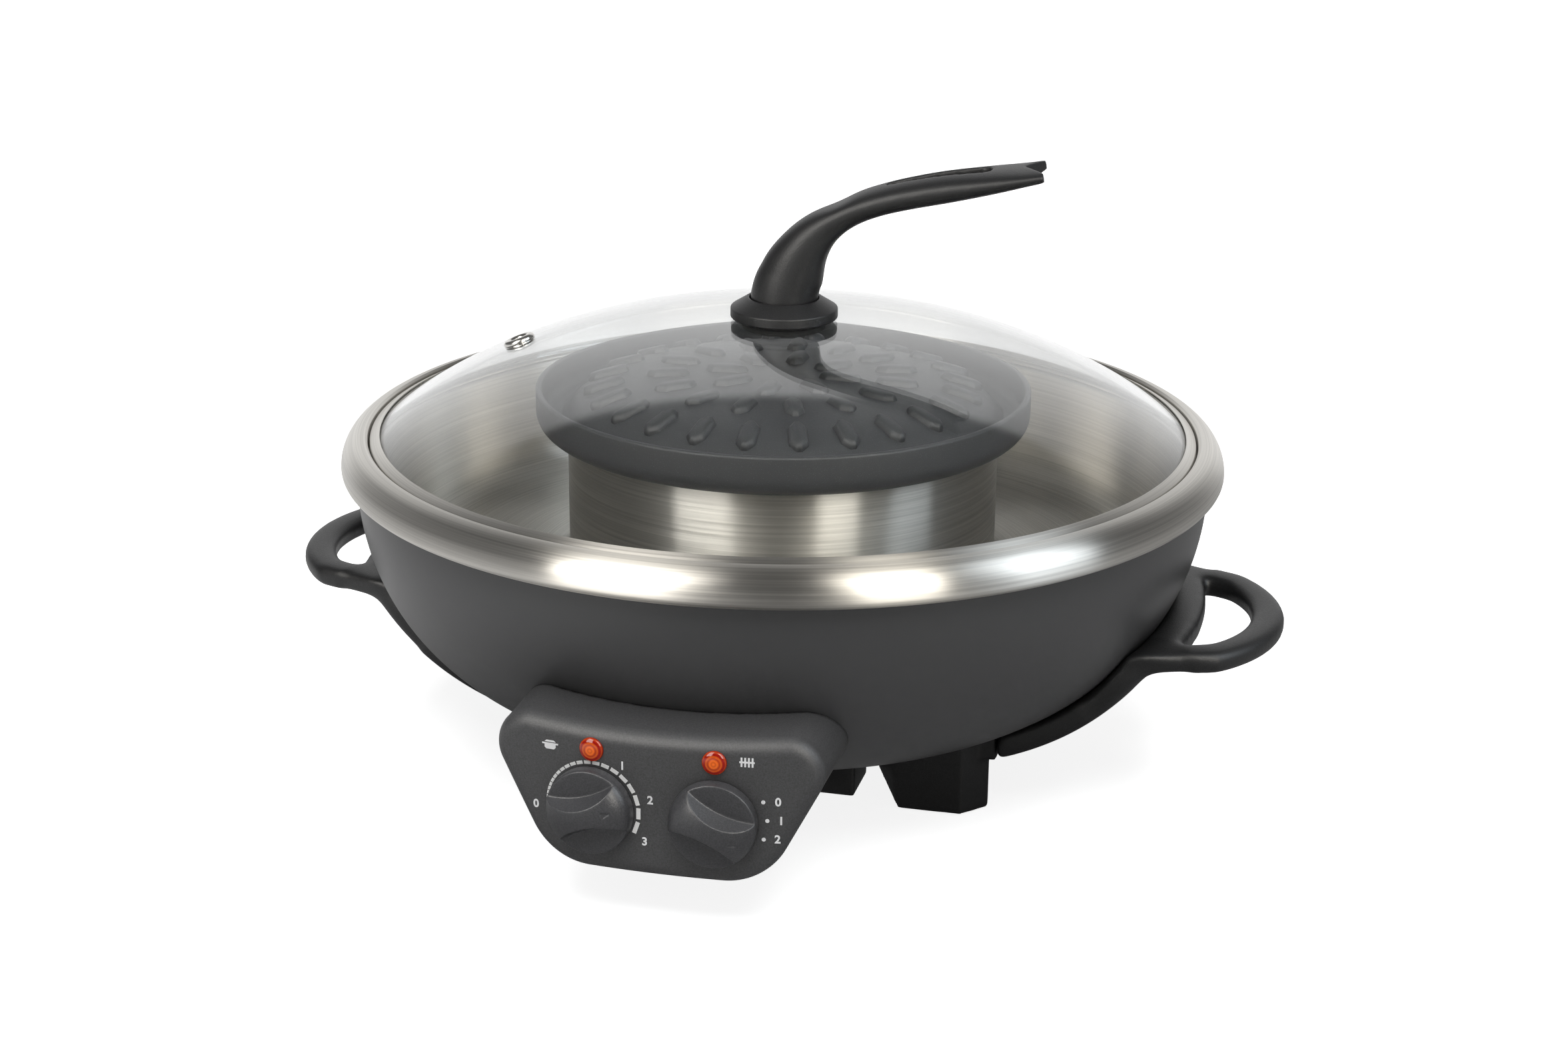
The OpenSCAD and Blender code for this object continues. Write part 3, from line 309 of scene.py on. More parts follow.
def nonstick_coating(colours):
    """Sprayed non-stick on cast aluminium: dark grey, half matt, with fine mineral sparks.
    The sparks are drawn at 0.8 mm so that they show."""
    tree, shader, place = start("Speckled non-stick coating")
    flake = add(tree, "ShaderNodeTexVoronoi", {"Vector": place, "Scale": 1 / (0.8 * MM)})
    spark = add(tree, "ShaderNodeMapRange", {"Value": flake.outputs["Distance"], "From Min": 0.1,
                                             "From Max": 0.22, "To Min": 1.0, "To Max": 0.0})
    rough = add(tree, "ShaderNodeTexNoise", {"Vector": place, "Scale": 1 / (0.9 * MM), "Detail": 3.0})
    tone = add(tree, "ShaderNodeMix", {"Factor": spark.outputs["Result"], "A": rgba(colours.coating),
                                       "B": shade(colours.coating, 2.4)}, data_type="RGBA")
    gloss = add(tree, "ShaderNodeMapRange", {"Value": rough.outputs["Fac"], "To Min": 0.45, "To Max": 0.58})
    bump = add(tree, "ShaderNodeBump", {"Height": rough.outputs["Fac"], "Strength": 0.15,
                                        "Distance": 0.1 * MM})
    wire(tree, shader, {"Base Color": tone.outputs["Result"], "Roughness": gloss.outputs["Result"],
                        "Normal": bump.outputs["Normal"], "IOR": 1.5})


def tempered_glass(colours):
    """Clear tempered glass: smooth, with a sharp pale mirror at low angles. Lamps shine through it."""
    tree, shader, place = start("Clear tempered glass")
    wave = add(tree, "ShaderNodeTexNoise", {"Vector": place, "Scale": 1 / (60 * MM), "Detail": 0.0})
    bump = add(tree, "ShaderNodeBump", {"Height": wave.outputs["Fac"], "Strength": 0.02, "Distance": 1 * MM})
    wire(tree, shader, {"Base Color": rgba(colours.glass), "Roughness": 0.0, "IOR": 1.5,
                        "Transmission Weight": 1.0, "Normal": bump.outputs["Normal"]})
    path = add(tree, "ShaderNodeLightPath")
    clear = add(tree, "ShaderNodeBsdfTransparent", {"Color": rgba(colours.glass)})
    mix = add(tree, "ShaderNodeMixShader", {0: path.outputs["Is Shadow Ray"], 1: shader.outputs["BSDF"],
                                            2: clear.outputs["BSDF"]})
    wire(tree, tree.nodes["Material Output"], {"Surface": mix.outputs["Shader"]})


def lamp_lens(colours, name, centre, out):
    """Clear red polystyrene over a neon lamp: an orange core and faint rings under a glossy dome."""
    ring = 1.5 * MM
    core_r = 4.2 * MM
    tree, shader, place = start(name)
    there = add(tree, "ShaderNodeVectorMath", {0: place, 1: tuple(centre)}, operation="SUBTRACT")
    depth = add(tree, "ShaderNodeVectorMath", {0: there.outputs["Vector"], 1: tuple(out)},
                operation="DOT_PRODUCT")
    lift = add(tree, "ShaderNodeVectorMath", {0: tuple(out), "Scale": depth.outputs["Value"]},
               operation="SCALE")
    disc = add(tree, "ShaderNodeVectorMath", {0: there.outputs["Vector"], 1: lift.outputs["Vector"]},
               operation="SUBTRACT")
    radius = add(tree, "ShaderNodeVectorMath", {0: disc.outputs["Vector"]}, operation="LENGTH")
    rings = add(tree, "ShaderNodeMath", {0: radius.outputs["Value"], 1: 2 * math.pi / ring},
                operation="MULTIPLY")
    ripple = add(tree, "ShaderNodeMath", {0: rings.outputs[0]}, operation="COSINE")
    core = add(tree, "ShaderNodeMapRange", {"Value": radius.outputs["Value"], "From Min": 0.4 * MM,
                                            "From Max": core_r, "To Min": 1.0, "To Max": 0.0})
    wave = add(tree, "ShaderNodeMath", {0: ripple.outputs[0], 1: 0.28, 2: core.outputs["Result"]},
               operation="MULTIPLY_ADD", use_clamp=True)
    tone = add(tree, "ShaderNodeMix", {"Factor": wave.outputs[0], "A": rgba(colours.lens),
                                       "B": rgba(colours.glow)}, data_type="RGBA")
    wire(tree, shader, {"Base Color": tone.outputs["Result"], "Roughness": 0.08, "IOR": 1.55,
                        "Emission Color": tone.outputs["Result"], "Emission Strength": 0.05})


def panel_print(colours):
    """Pad-printed ink: pale, thin and half matt, a little uneven."""
    tree, shader, place = start("Pale panel print")
    blot = add(tree, "ShaderNodeTexNoise", {"Vector": place, "Scale": 1 / (0.7 * MM), "Detail": 1.0})
    tone = add(tree, "ShaderNodeMix", {"Factor": blot.outputs["Fac"], "A": shade(colours.ink, 0.92),
                                       "B": rgba(colours.ink)}, data_type="RGBA")
    wire(tree, shader, {"Base Color": tone.outputs["Result"], "Roughness": 0.55})


def grained(name, code, grain, roughness, metallic=0.0, contrast=0.12, bump_depth=0.03 * MM):
    """A plain shop material: one colour with a grain of the given size in its tone, gloss and surface."""
    tree, shader, place = start(name)
    speck = add(tree, "ShaderNodeTexNoise", {"Vector": place, "Scale": 1 / grain, "Detail": 3.0})
    colour = srgb(code)
    tone = add(tree, "ShaderNodeMix", {"Factor": speck.outputs["Fac"], "A": shade(colour, 1 - contrast),
                                       "B": shade(colour, 1 + contrast)}, data_type="RGBA")
    gloss = add(tree, "ShaderNodeMapRange", {"Value": speck.outputs["Fac"], "To Min": roughness - 0.06,
                                             "To Max": roughness + 0.06})
    bump = add(tree, "ShaderNodeBump", {"Height": speck.outputs["Fac"], "Strength": 0.3,
                                        "Distance": bump_depth})
    wire(tree, shader, {"Base Color": tone.outputs["Result"], "Roughness": gloss.outputs["Result"],
                        "Metallic": metallic, "Normal": bump.outputs["Normal"]})


def make_finishes(colours):
    """All finishes that more than one piece shares."""
    satin_enamel(colours)
    textured_plastic("Textured black plastic", colours.plastic)
    # The same black plastic as the panel, darker as painted shade, for the side handles, the lid's handle and
    # the base
    textured_plastic("Dark heat-proof plastic", colours.shade_darkened_plastic, 0.52, 0.38)
    textured_plastic("Satin black plastic", colours.satin, 0.4, 0.28)
    brushed_steel(colours)
    nonstick_coating(colours)
    tempered_glass(colours)
    panel_print(colours)
    # Polished steel: a clean bright mirror with the faintest drag marks
    grained("Polished steel", "#d8d6d2", 2.5 * MM, 0.22, metallic=1.0, contrast=0.03, bump_depth=0.005 * MM)
    # Zinc on steel: blue-grey and bright, with a fine crystal grain
    grained("Zinc-plated steel", "#b4b6b8", 1.2 * MM, 0.32, metallic=1.0)
    # Sand-cast aluminium: pale, dull and pitted
    grained("Cast aluminium", "#c2c2c0", 1.6 * MM, 0.48, metallic=1.0, bump_depth=0.08 * MM)
    # Moulded silicone rubber: near black and matt
    grained("Black silicone rubber", "#161616", 0.6 * MM, 0.75)
    # Moulded phenolic: dark brown, half matt, with a filler that shows as specks
    grained("Brown phenolic", "#4a3426", 0.8 * MM, 0.5)
    # Moulded nylon: ivory and waxy
    grained("Ivory nylon", "#ddd6c6", 1.0 * MM, 0.42, contrast=0.05)


# Meshes


def object_of(name, data):
    """A new object in the scene, at the origin."""
    made = bpy.data.objects.new(name, data)
    bpy.context.scene.collection.objects.link(made)
    return made


def coat(mesh, finish):
    """Gives a mesh one finish."""
    mesh.materials.clear()
    mesh.materials.append(bpy.data.materials[finish])


def plain_mesh(piece):
    """The mesh of a piece as its modifiers or its curve make it."""
    return bpy.data.meshes.new_from_object(piece.evaluated_get(bpy.context.evaluated_depsgraph_get()))


def piece_from(name, points, faces, finish, sharp=40):
    """A smooth piece from points in metres, with its normals outwards."""
    mesh = bpy.data.meshes.new(name)
    mesh.from_pydata([tuple(p) for p in points], [], faces)
    shell = bmesh.new()
    shell.from_mesh(mesh)
    bmesh.ops.recalc_face_normals(shell, faces=shell.faces)
    shell.to_mesh(mesh)
    shell.free()
    coat(mesh, finish)
    piece = object_of(name, mesh)
    smooth(piece, sharp)
    return piece


def smooth(piece, sharp=40):
    """Smooth shading, with edges steeper than the given angle left sharp."""
    piece.data.polygons.foreach_set("use_smooth", [True] * len(piece.data.polygons))
    piece.data.set_sharp_from_angle(angle=math.radians(sharp))


def settle(piece):
    """Turns a piece with modifiers into a plain mesh."""
    piece.data = plain_mesh(piece)
    piece.modifiers.clear()
    return piece


def seat(piece, body, slot, *nodes):
    """Puts a piece on its body and lets it stand for its solids."""
    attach(piece, body)
    if nodes:
        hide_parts(*nodes)


def cut(piece, cutter):
    """Takes a cutter's shape out of a piece."""
    tool = piece.modifiers.new("Cut", "BOOLEAN")
    tool.operation = "DIFFERENCE"
    tool.solver = "EXACT"
    tool.object = cutter
    settle(piece)
    bpy.data.objects.remove(cutter)


def soften(piece, voxel, passes):
    """Rounds all edges of a closed piece, as a moulding has them."""
    remesh = piece.modifiers.new("Remesh", "REMESH")
    remesh.mode = "VOXEL"
    remesh.voxel_size = voxel
    ease = piece.modifiers.new("Smooth", "SMOOTH")
    ease.factor = 0.5
    ease.iterations = passes
    settle(piece)
    smooth(piece, 180)
    return piece


def ease_near(piece, spots, reach, passes):
    """Smooths a piece more near some spots, as where two limbs of a moulding flow into each other."""
    shell = bmesh.new()
    shell.from_mesh(piece.data)
    near = [v for v in shell.verts if min((v.co - spot).length for spot in spots) < reach]
    for _ in range(passes):
        bmesh.ops.smooth_vert(shell, verts=near, factor=0.5, use_axis_x=True, use_axis_y=True,
                              use_axis_z=True)
    shell.to_mesh(piece.data)
    shell.free()


def copy_of(name, node, finish):
    """A copy of a solid as a closed mesh."""
    shell = bmesh.new()
    shell.from_mesh(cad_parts[node].data)
    bmesh.ops.remove_doubles(shell, verts=shell.verts, dist=0.001 * MM)
    mesh = bpy.data.meshes.new(name)
    shell.to_mesh(mesh)
    shell.free()
    coat(mesh, finish)
    return object_of(name, mesh)


def moulded(name, node, finish, voxel, passes):
    """A moulding made from a copy of a solid, with its edges rounded."""
    return soften(copy_of(name, node, finish), voxel, passes)


def arc(x, z, rx, rz, start_deg, end_deg, steps):
    """Points on an arc of an ellipse."""
    angles = [math.radians(start_deg + (end_deg - start_deg) * i / steps) for i in range(steps + 1)]
    return [(x + rx * math.cos(a), z + rz * math.sin(a)) for a in angles]


def rounded(corners, closed=False, steps=5):
    """An outline from corners (x, z, radius), with an arc at each."""
    points = []
    last = len(corners) - 1
    for i, (x, z, radius) in enumerate(corners):
        corner = Vector((x, z))
        if radius == 0 or (not closed and i in (0, last)):
            points.append((x, z))
            continue
        back = Vector(corners[i - 1][:2]) - corner
        ahead = Vector(corners[(i + 1) % len(corners)][:2]) - corner
        half = back.angle(ahead) / 2
        trim = min(radius / math.tan(half), 0.48 * back.length, 0.48 * ahead.length)
        middle = corner + (back.normalized() + ahead.normalized()).normalized() * (trim / math.cos(half))
        first = corner + back.normalized() * trim - middle
        final = corner + ahead.normalized() * trim - middle
        sweep = first.angle_signed(final)
        for k in range(steps + 1):
            spoke = first.copy()
            spoke.rotate(Matrix.Rotation(-sweep * k / steps, 2))
            points.append(tuple(middle + spoke))
    return points


def lathe(name, outline, finish, closed=True, sharp=40, steps=TURN_STEPS):
    """A turned piece from points (radius, height): a ring if closed, else a form that ends on the axis."""
    points = []
    rows = []
    for radius, height in outline:
        count = steps if radius > 1e-7 else 1
        rows.append(range(len(points), len(points) + count))
        for k in range(count):
            angle = 2 * math.pi * k / steps
            points.append((radius * math.cos(angle), radius * math.sin(angle), height))
    faces = []
    pairs = list(zip(rows, rows[1:]))
    if closed:
        pairs.append((rows[-1], rows[0]))
    for low, high in pairs:
        for k in range(steps):
            after = k + 1
            ring = [low[k % len(low)], low[after % len(low)], high[after % len(high)], high[k % len(high)]]
            face = list(dict.fromkeys(ring))
            if len(face) > 2:
                faces.append(face)
    return piece_from(name, points, faces, finish, sharp)


def loft(name, rings, finish, sharp=40, closed=True):
    """A skin over a row of rings with as many points each. The first end is flat, and the last if closed."""
    count = len(rings[0])
    points = [p for ring in rings for p in ring]
    faces = []
    for row in range(len(rings) - 1):
        for k in range(count):
            a = row * count + k
            b = row * count + (k + 1) % count
            faces.append((a, b, b + count, a + count))
    faces.append(tuple(range(count)))
    if closed:
        faces.append(tuple(range(len(points) - count, len(points))))
    return piece_from(name, points, faces, finish, sharp)


def prism(name, outline, low, high, finish="Textured black plastic"):
    """A straight block over an outline in the plane z = 0."""
    rings = [[(x, y, z) for x, y in outline] for z in (low, high)]
    return loft(name, rings, finish)


def transform(piece, matrix):
    """Moves the points of a piece, and leaves its object at the origin."""
    piece.data.transform(matrix)
    return piece


# Forms that more than one piece follows


def bowl_radius(s, z):
    """Outer radius of the bowl at a height."""
    depth = min(max((s.bowl_top - z) / s.bowl_depth, 0.0), 1.0)
    across = 1 - depth ** s.bowl_floor
    return s.bowl_r * max(across, 0.0) ** (1 / s.bowl_side)


def bowl_line(s, inset, steps=64):
    """Points down the bowl's side, moved inwards, as far as the hole in its bottom."""
    points = []
    for i in range(steps + 1):
        a = math.pi / 2 * i / steps
        radius = (s.bowl_r - inset) * math.cos(a) ** (2 / s.bowl_side) if i < steps else 0.0
        height = s.bowl_top - (s.bowl_depth - inset) * math.sin(a) ** (2 / s.bowl_floor)
        if radius < s.bowl_hole_r:
            points.append((s.bowl_hole_r, height))
            break
        points.append((radius, height))
    return points


def dome_height(s, radius):
    """Height of the grill plate's dome, nearly flat in the middle with a round shoulder."""
    share = radius / s.dome_r
    fall = s.dome_bow * share ** 2 + (1 - s.dome_bow) * share ** 8
    edge = s.grill_z + 8 * MM
    return edge + s.dome_rise * (1 - fall)


def glass_height(lid, radius):
    """Height of the glass's outer face."""
    return lid.glass_z + lid.glass_rise * (1 - (radius / lid.glass_r) ** lid.glass_power)


def glass_slope(lid, radius):
    """How steeply the glass falls at a radius, as an angle."""
    ratio = (radius / lid.glass_r) ** (lid.glass_power - 1)
    return math.atan(lid.glass_rise * lid.glass_power / lid.glass_r * ratio)


def on_face(panel, x, z, out=0.0):
    """A point on the panel's face, and how far out of it."""
    angle = math.asin(x / panel.face_curve)
    reach = panel.face_curve + out
    axis_y = panel.face_curve - panel.face_y
    return Vector((reach * math.sin(angle), axis_y - reach * math.cos(angle), z))


def face_frame(panel, x, z):
    """The frame of a spot on the face: x to the right, y up, z outwards."""
    angle = math.asin(x / panel.face_curve)
    return (Matrix.Translation(on_face(panel, x, z)) @ Matrix.Rotation(angle, 4, "Z")
            @ Matrix.Rotation(math.pi / 2, 4, "X"))


# Pieces


class HOTPOT_OT_bowl(bpy.types.Operator):
    """Builds the painted outer bowl"""

    bl_idname = "hotpot.bowl"
    bl_label = "Outer bowl"

    def execute(self, context):
        s = context.scene.hotpot_sizes
        collar = s.bowl_top + 3.5 * MM
        wall = 1 * MM
        outline = [(s.bowl_r, collar)] + bowl_line(s, 0.0)
        outline += bowl_line(s, wall)[::-1] + [(s.bowl_r - wall, collar)]
        bowl = lathe("bowl_shell", outline, "Satin black enamel")
        seat(bowl, "base", "black_paint", "outer_bowl")
        return {"FINISHED"}


def pot_line(s, inset):
    """The pot's sheet from the roll's lower edge to the axis, moved to its hidden side."""
    lip = 0.9 * MM
    roll_r = s.rim_r - s.roll_w
    lip_r = roll_r - lip
    ledge_r = lip_r - s.ledge_w
    top = s.rim_z + s.roll_up - lip
    floor = s.pot_floor - inset
    cap = s.pedestal_top - inset
    wall_fillet = 15 * MM + inset
    foot_fillet = 9 * MM + inset
    cap_round = 3 * MM - inset
    roll = arc(roll_r, s.rim_z, s.roll_w - inset, s.roll_down - inset, -60, 0, 8)[:-1]
    roll += arc(roll_r, s.rim_z, s.roll_w - inset, s.roll_up - inset, 0, 90, 24)
    inside = rounded([
        (roll_r, s.rim_z + s.roll_up - inset, 0), (lip_r + inset, top - inset, 0.6 * MM),
        (lip_r + inset, s.ledge_z - inset, 1.2 * MM), (ledge_r + inset, s.ledge_z - inset, 1.6 * MM),
        (s.pot_low_r + inset, floor, wall_fillet), (s.pedestal_r - inset, floor, foot_fillet),
        (s.pedestal_r - inset, cap, cap_round), (0.0, cap, 0)], steps=8)
    return roll + inside[1:]


class HOTPOT_OT_pot(bpy.types.Operator):
    """Builds the stainless pot with its rolled rim, ledge, floor and pedestal"""

    bl_idname = "hotpot.pot"
    bl_label = "Inner pot"

    def execute(self, context):
        s = context.scene.hotpot_sizes
        outline = pot_line(s, 0.0) + pot_line(s, s.sheet)[::-1]
        pot = lathe("pot_shell", outline, "Brushed stainless steel", steps=2 * TURN_STEPS)
        seat(pot, "base", "stainless_steel", "inner_pot", "pot_pedestal")
        return {"FINISHED"}


def rib_block(s):
    """One rib along X: a long lozenge with a flat top and sloping sides."""
    root = 3 * MM
    nose = s.rib_w * 0.42
    tip_round = 0.8 * MM
    side_round = 1.5 * MM
    rings = []
    for height, grow in ((-root, 0.0), (0.2 * MM, 0.0), (s.rib_h * 0.75, -0.8 * MM), (s.rib_h, -1.7 * MM)):
        half_l = s.rib_l / 2 + grow
        half_w = s.rib_w / 2 + grow
        tip = half_w * 0.3
        half = [(half_l, -tip, tip_round), (half_l, tip, tip_round),
                (half_l - nose, half_w, side_round), (nose - half_l, half_w, side_round)]
        outline = rounded(half + [(-x, -y, radius) for x, y, radius in half], closed=True, steps=2)
        rings.append([(x, y, height) for x, y in outline])
    return loft("rib_block", rings, "Speckled non-stick coating", sharp=180)


def rib_ring_tree():
    """Geometry nodes that set ribs in a ring on a dome."""
    tree = bpy.data.node_groups.new("Rib ring", "GeometryNodeTree")
    for name, kind in (("Rib", "Object"), ("Count", "Int"), ("Radius", "Float"), ("Height", "Float"),
                       ("Tilt", "Float"), ("Turn", "Float"), ("Finish", "Material")):
        tree.interface.new_socket(name, in_out="INPUT", socket_type="NodeSocket" + kind)
    tree.interface.new_socket("Ribs", in_out="OUTPUT", socket_type="NodeSocketGeometry")
    given = add(tree, "NodeGroupInput").outputs
    index = add(tree, "GeometryNodeInputIndex").outputs["Index"]
    circle = add(tree, "GeometryNodeMeshCircle", {"Vertices": given["Count"], "Radius": given["Radius"]})
    share = add(tree, "ShaderNodeMath", {0: index, 1: given["Count"]}, operation="DIVIDE")
    angle = add(tree, "ShaderNodeMath", {0: share.outputs[0], 1: 2 * math.pi}, operation="MULTIPLY")
    heading = add(tree, "ShaderNodeCombineXYZ", {"Y": given["Tilt"], "Z": angle.outputs[0]})
    shape_in = add(tree, "GeometryNodeObjectInfo", {"Object": given["Rib"]})
    ribs = add(tree, "GeometryNodeInstanceOnPoints", {"Points": circle.outputs["Mesh"],
                                                      "Instance": shape_in.outputs["Geometry"],
                                                      "Rotation": heading.outputs["Vector"]})
    rest = add(tree, "ShaderNodeCombineXYZ", {"Z": given["Height"]})
    spin = add(tree, "ShaderNodeCombineXYZ", {"Z": given["Turn"]})
    moved = add(tree, "GeometryNodeTransform", {"Geometry": ribs.outputs["Instances"],
                                                "Translation": rest.outputs["Vector"],
                                                "Rotation": spin.outputs["Vector"]})
    real = add(tree, "GeometryNodeRealizeInstances", {"Geometry": moved.outputs["Geometry"]})
    done = add(tree, "GeometryNodeSetMaterial", {"Geometry": real.outputs["Geometry"],
                                                 "Material": given["Finish"]})
    add(tree, "NodeGroupOutput", {"Ribs": done.outputs["Geometry"]})
    return tree


def from_tree(name, tree, finish, values):
    """A plain mesh made by a node tree with the given inputs."""
    piece = object_of(name, bpy.data.meshes.new(name))
    modifier = piece.modifiers.new("Nodes", "NODES")
    modifier.node_group = tree
    names = {item.name: item.identifier for item in tree.interface.items_tree if item.in_out == "INPUT"}
    for key, value in values.items():
        modifier[names[key]] = value
    modifier[names["Finish"]] = bpy.data.materials[finish]
    return settle(piece)


def join(pieces):
    """One piece from several that share a finish."""
    first = pieces[0]
    shell = bmesh.new()
    for piece in pieces:
        shell.from_mesh(piece.data)
    shell.to_mesh(first.data)
    shell.free()
    for piece in pieces[1:]:
        bpy.data.objects.remove(piece)
    return first


# Rings of ribs on the grill plate: name, count, radius and the turn of the first rib in degrees
RIB_RINGS = (("outer", 24, 77 * MM, 3.5), ("middle", 15, 49.5 * MM, 1), ("inner", 8, 25 * MM, 0))


class HOTPOT_OT_grill(bpy.types.Operator):
    """Builds the domed grill plate with its rings of ribs"""

    bl_idname = "hotpot.grill"
    bl_label = "Grill plate"

    def execute(self, context):
        s = context.scene.hotpot_sizes
        lip = s.grill_z + s.grill_wall
        gutter = s.grill_z + 5 * MM
        inner = s.grill_r - 2.6 * MM
        dome_edge = s.dome_r - 1.4 * MM
        edge = rounded([
            (0.0, s.grill_z, 0), (s.grill_r, s.grill_z, s.grill_corner), (s.grill_r, lip, 1.2 * MM),
            (inner, lip, 1.0 * MM), (inner, gutter, 4 * MM), (s.dome_r + 2.6 * MM, gutter, 2.4 * MM),
            (dome_edge, dome_height(s, dome_edge), 0)], steps=8)
        steps = 40
        radii = [dome_edge * math.sqrt(1 - i / steps) for i in range(steps + 1)]
        dome = [(radius, dome_height(s, radius)) for radius in radii]
        plate = lathe("grill_casting", edge[:-1] + dome, "Speckled non-stick coating", closed=False, sharp=50)
        block = rib_block(s)
        tree = rib_ring_tree()
        parts = [plate]
        for name, count, radius, first in RIB_RINGS:
            fall = dome_height(s, radius - 1 * MM) - dome_height(s, radius + 1 * MM)
            values = {"Rib": block, "Count": count, "Radius": radius, "Tilt": math.atan2(fall, 2 * MM),
                      "Height": dome_height(s, radius), "Turn": math.radians(first)}
            parts.append(from_tree("ribs_" + name, tree, "Speckled non-stick coating", values))
        bpy.data.objects.remove(block)
        casting = join(parts)
        smooth(casting, 50)
        seat(casting, "grill", "nonstick_cast", "grill_plate")
        return {"FINISHED"}


class HOTPOT_OT_lid(bpy.types.Operator):
    """Builds the glass dome, its steel band and the vent eyelet"""

    bl_idname = "hotpot.lid"
    bl_label = "Glass lid"

    def execute(self, context):
        lid = context.scene.hotpot_lid
        steps = 72
        radii = [lid.glass_hole_r + (lid.glass_r - lid.glass_hole_r) * i / steps for i in range(steps + 1)]
        outer = [(r, glass_height(lid, r)) for r in radii]
        inner = []
        for radius, height in outer:
            slope = glass_slope(lid, radius)
            inner.append((radius - lid.glass_t * math.sin(slope), height - lid.glass_t * math.cos(slope)))
        glass = lathe("lid_dome", outer + inner[::-1], "Clear tempered glass")
        spot = self.vent_frame(lid)
        hole_r = lid.vent_bore + 1.05 * MM
        clear = 15 * MM
        hole = prism("vent_hole", arc(0, 0, hole_r, hole_r, 0, 360, 32)[:-1], -clear, clear)
        cut(glass, transform(hole, spot))
        smooth(glass, 40)
        seat(glass, "lid", "clear_glass", "lid_glass")
        band = lathe("lid_edge_band", self.band_line(lid), "Brushed stainless steel", steps=2 * TURN_STEPS)
        seat(band, "lid", "stainless_steel", "lid_band")
        eyelet = lathe("vent_eyelet", self.eyelet_line(lid), "Polished steel", steps=64)
        seat(transform(eyelet, spot), "lid", "stainless_steel", "lid_vent")
        return {"FINISHED"}

    @staticmethod
    def band_line(lid):
        """Outline of the steel band, folded over the edge of the glass and in under it."""
        gap = 0.3 * MM
        low = lid.band_z
        shelf = low + 1.2 * MM
        lip_r = lid.glass_r - 2.8 * MM
        lip_z = glass_height(lid, lip_r) + gap
        shelf_r = lip_r - 1 * MM
        return rounded([
            (lid.band_r, low, 0.5 * MM), (lid.band_r, lid.glass_z + 0.8 * MM, 0.8 * MM),
            (lip_r, lip_z + 0.7 * MM, 0.3 * MM), (lip_r, lip_z, 0.2 * MM),
            (lid.glass_r + gap, lid.glass_z + gap, 0.3 * MM), (lid.glass_r + gap, shelf, 0.2 * MM),
            (shelf_r, shelf, 0.3 * MM), (shelf_r, low, 0.3 * MM)], closed=True, steps=4)

    @staticmethod
    def eyelet_line(lid):
        """Outline of the vent's eyelet: a flange under the glass, a tube and a rolled ring on top."""
        bore = lid.vent_bore
        tube = bore + 1 * MM
        flange = bore + 3 * MM
        gap = 0.2 * MM
        under = -lid.glass_t * math.cos(glass_slope(lid, lid.vent_r))
        half_roll = lid.vent_roll / 2
        stem = rounded([(bore, under - 1.2 * MM, 0.3 * MM), (flange, under - 0.8 * MM, 0.2 * MM),
                        (flange, under - gap, 0.1 * MM), (tube, under - gap, 0), (tube, gap, 0)], steps=4)
        return stem + arc(bore + half_roll, gap, half_roll, 2 * MM, 0, 180, 16)

    @staticmethod
    def vent_frame(lid):
        """The frame on the glass at the vent, with z along the glass's normal."""
        place = Vector((lid.vent_r, 0, glass_height(lid, lid.vent_r)))
        tilt = Matrix.Rotation(glass_slope(lid, lid.vent_r), 4, "Y")
        return Matrix.Rotation(lid.vent_turn, 4, "Z") @ Matrix.Translation(place) @ tilt


def spread(values, t):
    """A smooth value at t from 0 to 1 in a list of evenly spaced ones."""
    place = t * (len(values) - 1)
    i = min(int(place), len(values) - 2)
    f = place - i
    before = values[max(i - 1, 0)]
    after = values[min(i + 2, len(values) - 1)]
    a, b = values[i], values[i + 1]
    return 0.5 * (2 * a + (b - before) * f + (2 * before - 5 * a + 4 * b - after) * f * f
                  + (3 * a - before - 3 * b + after) * f ** 3)


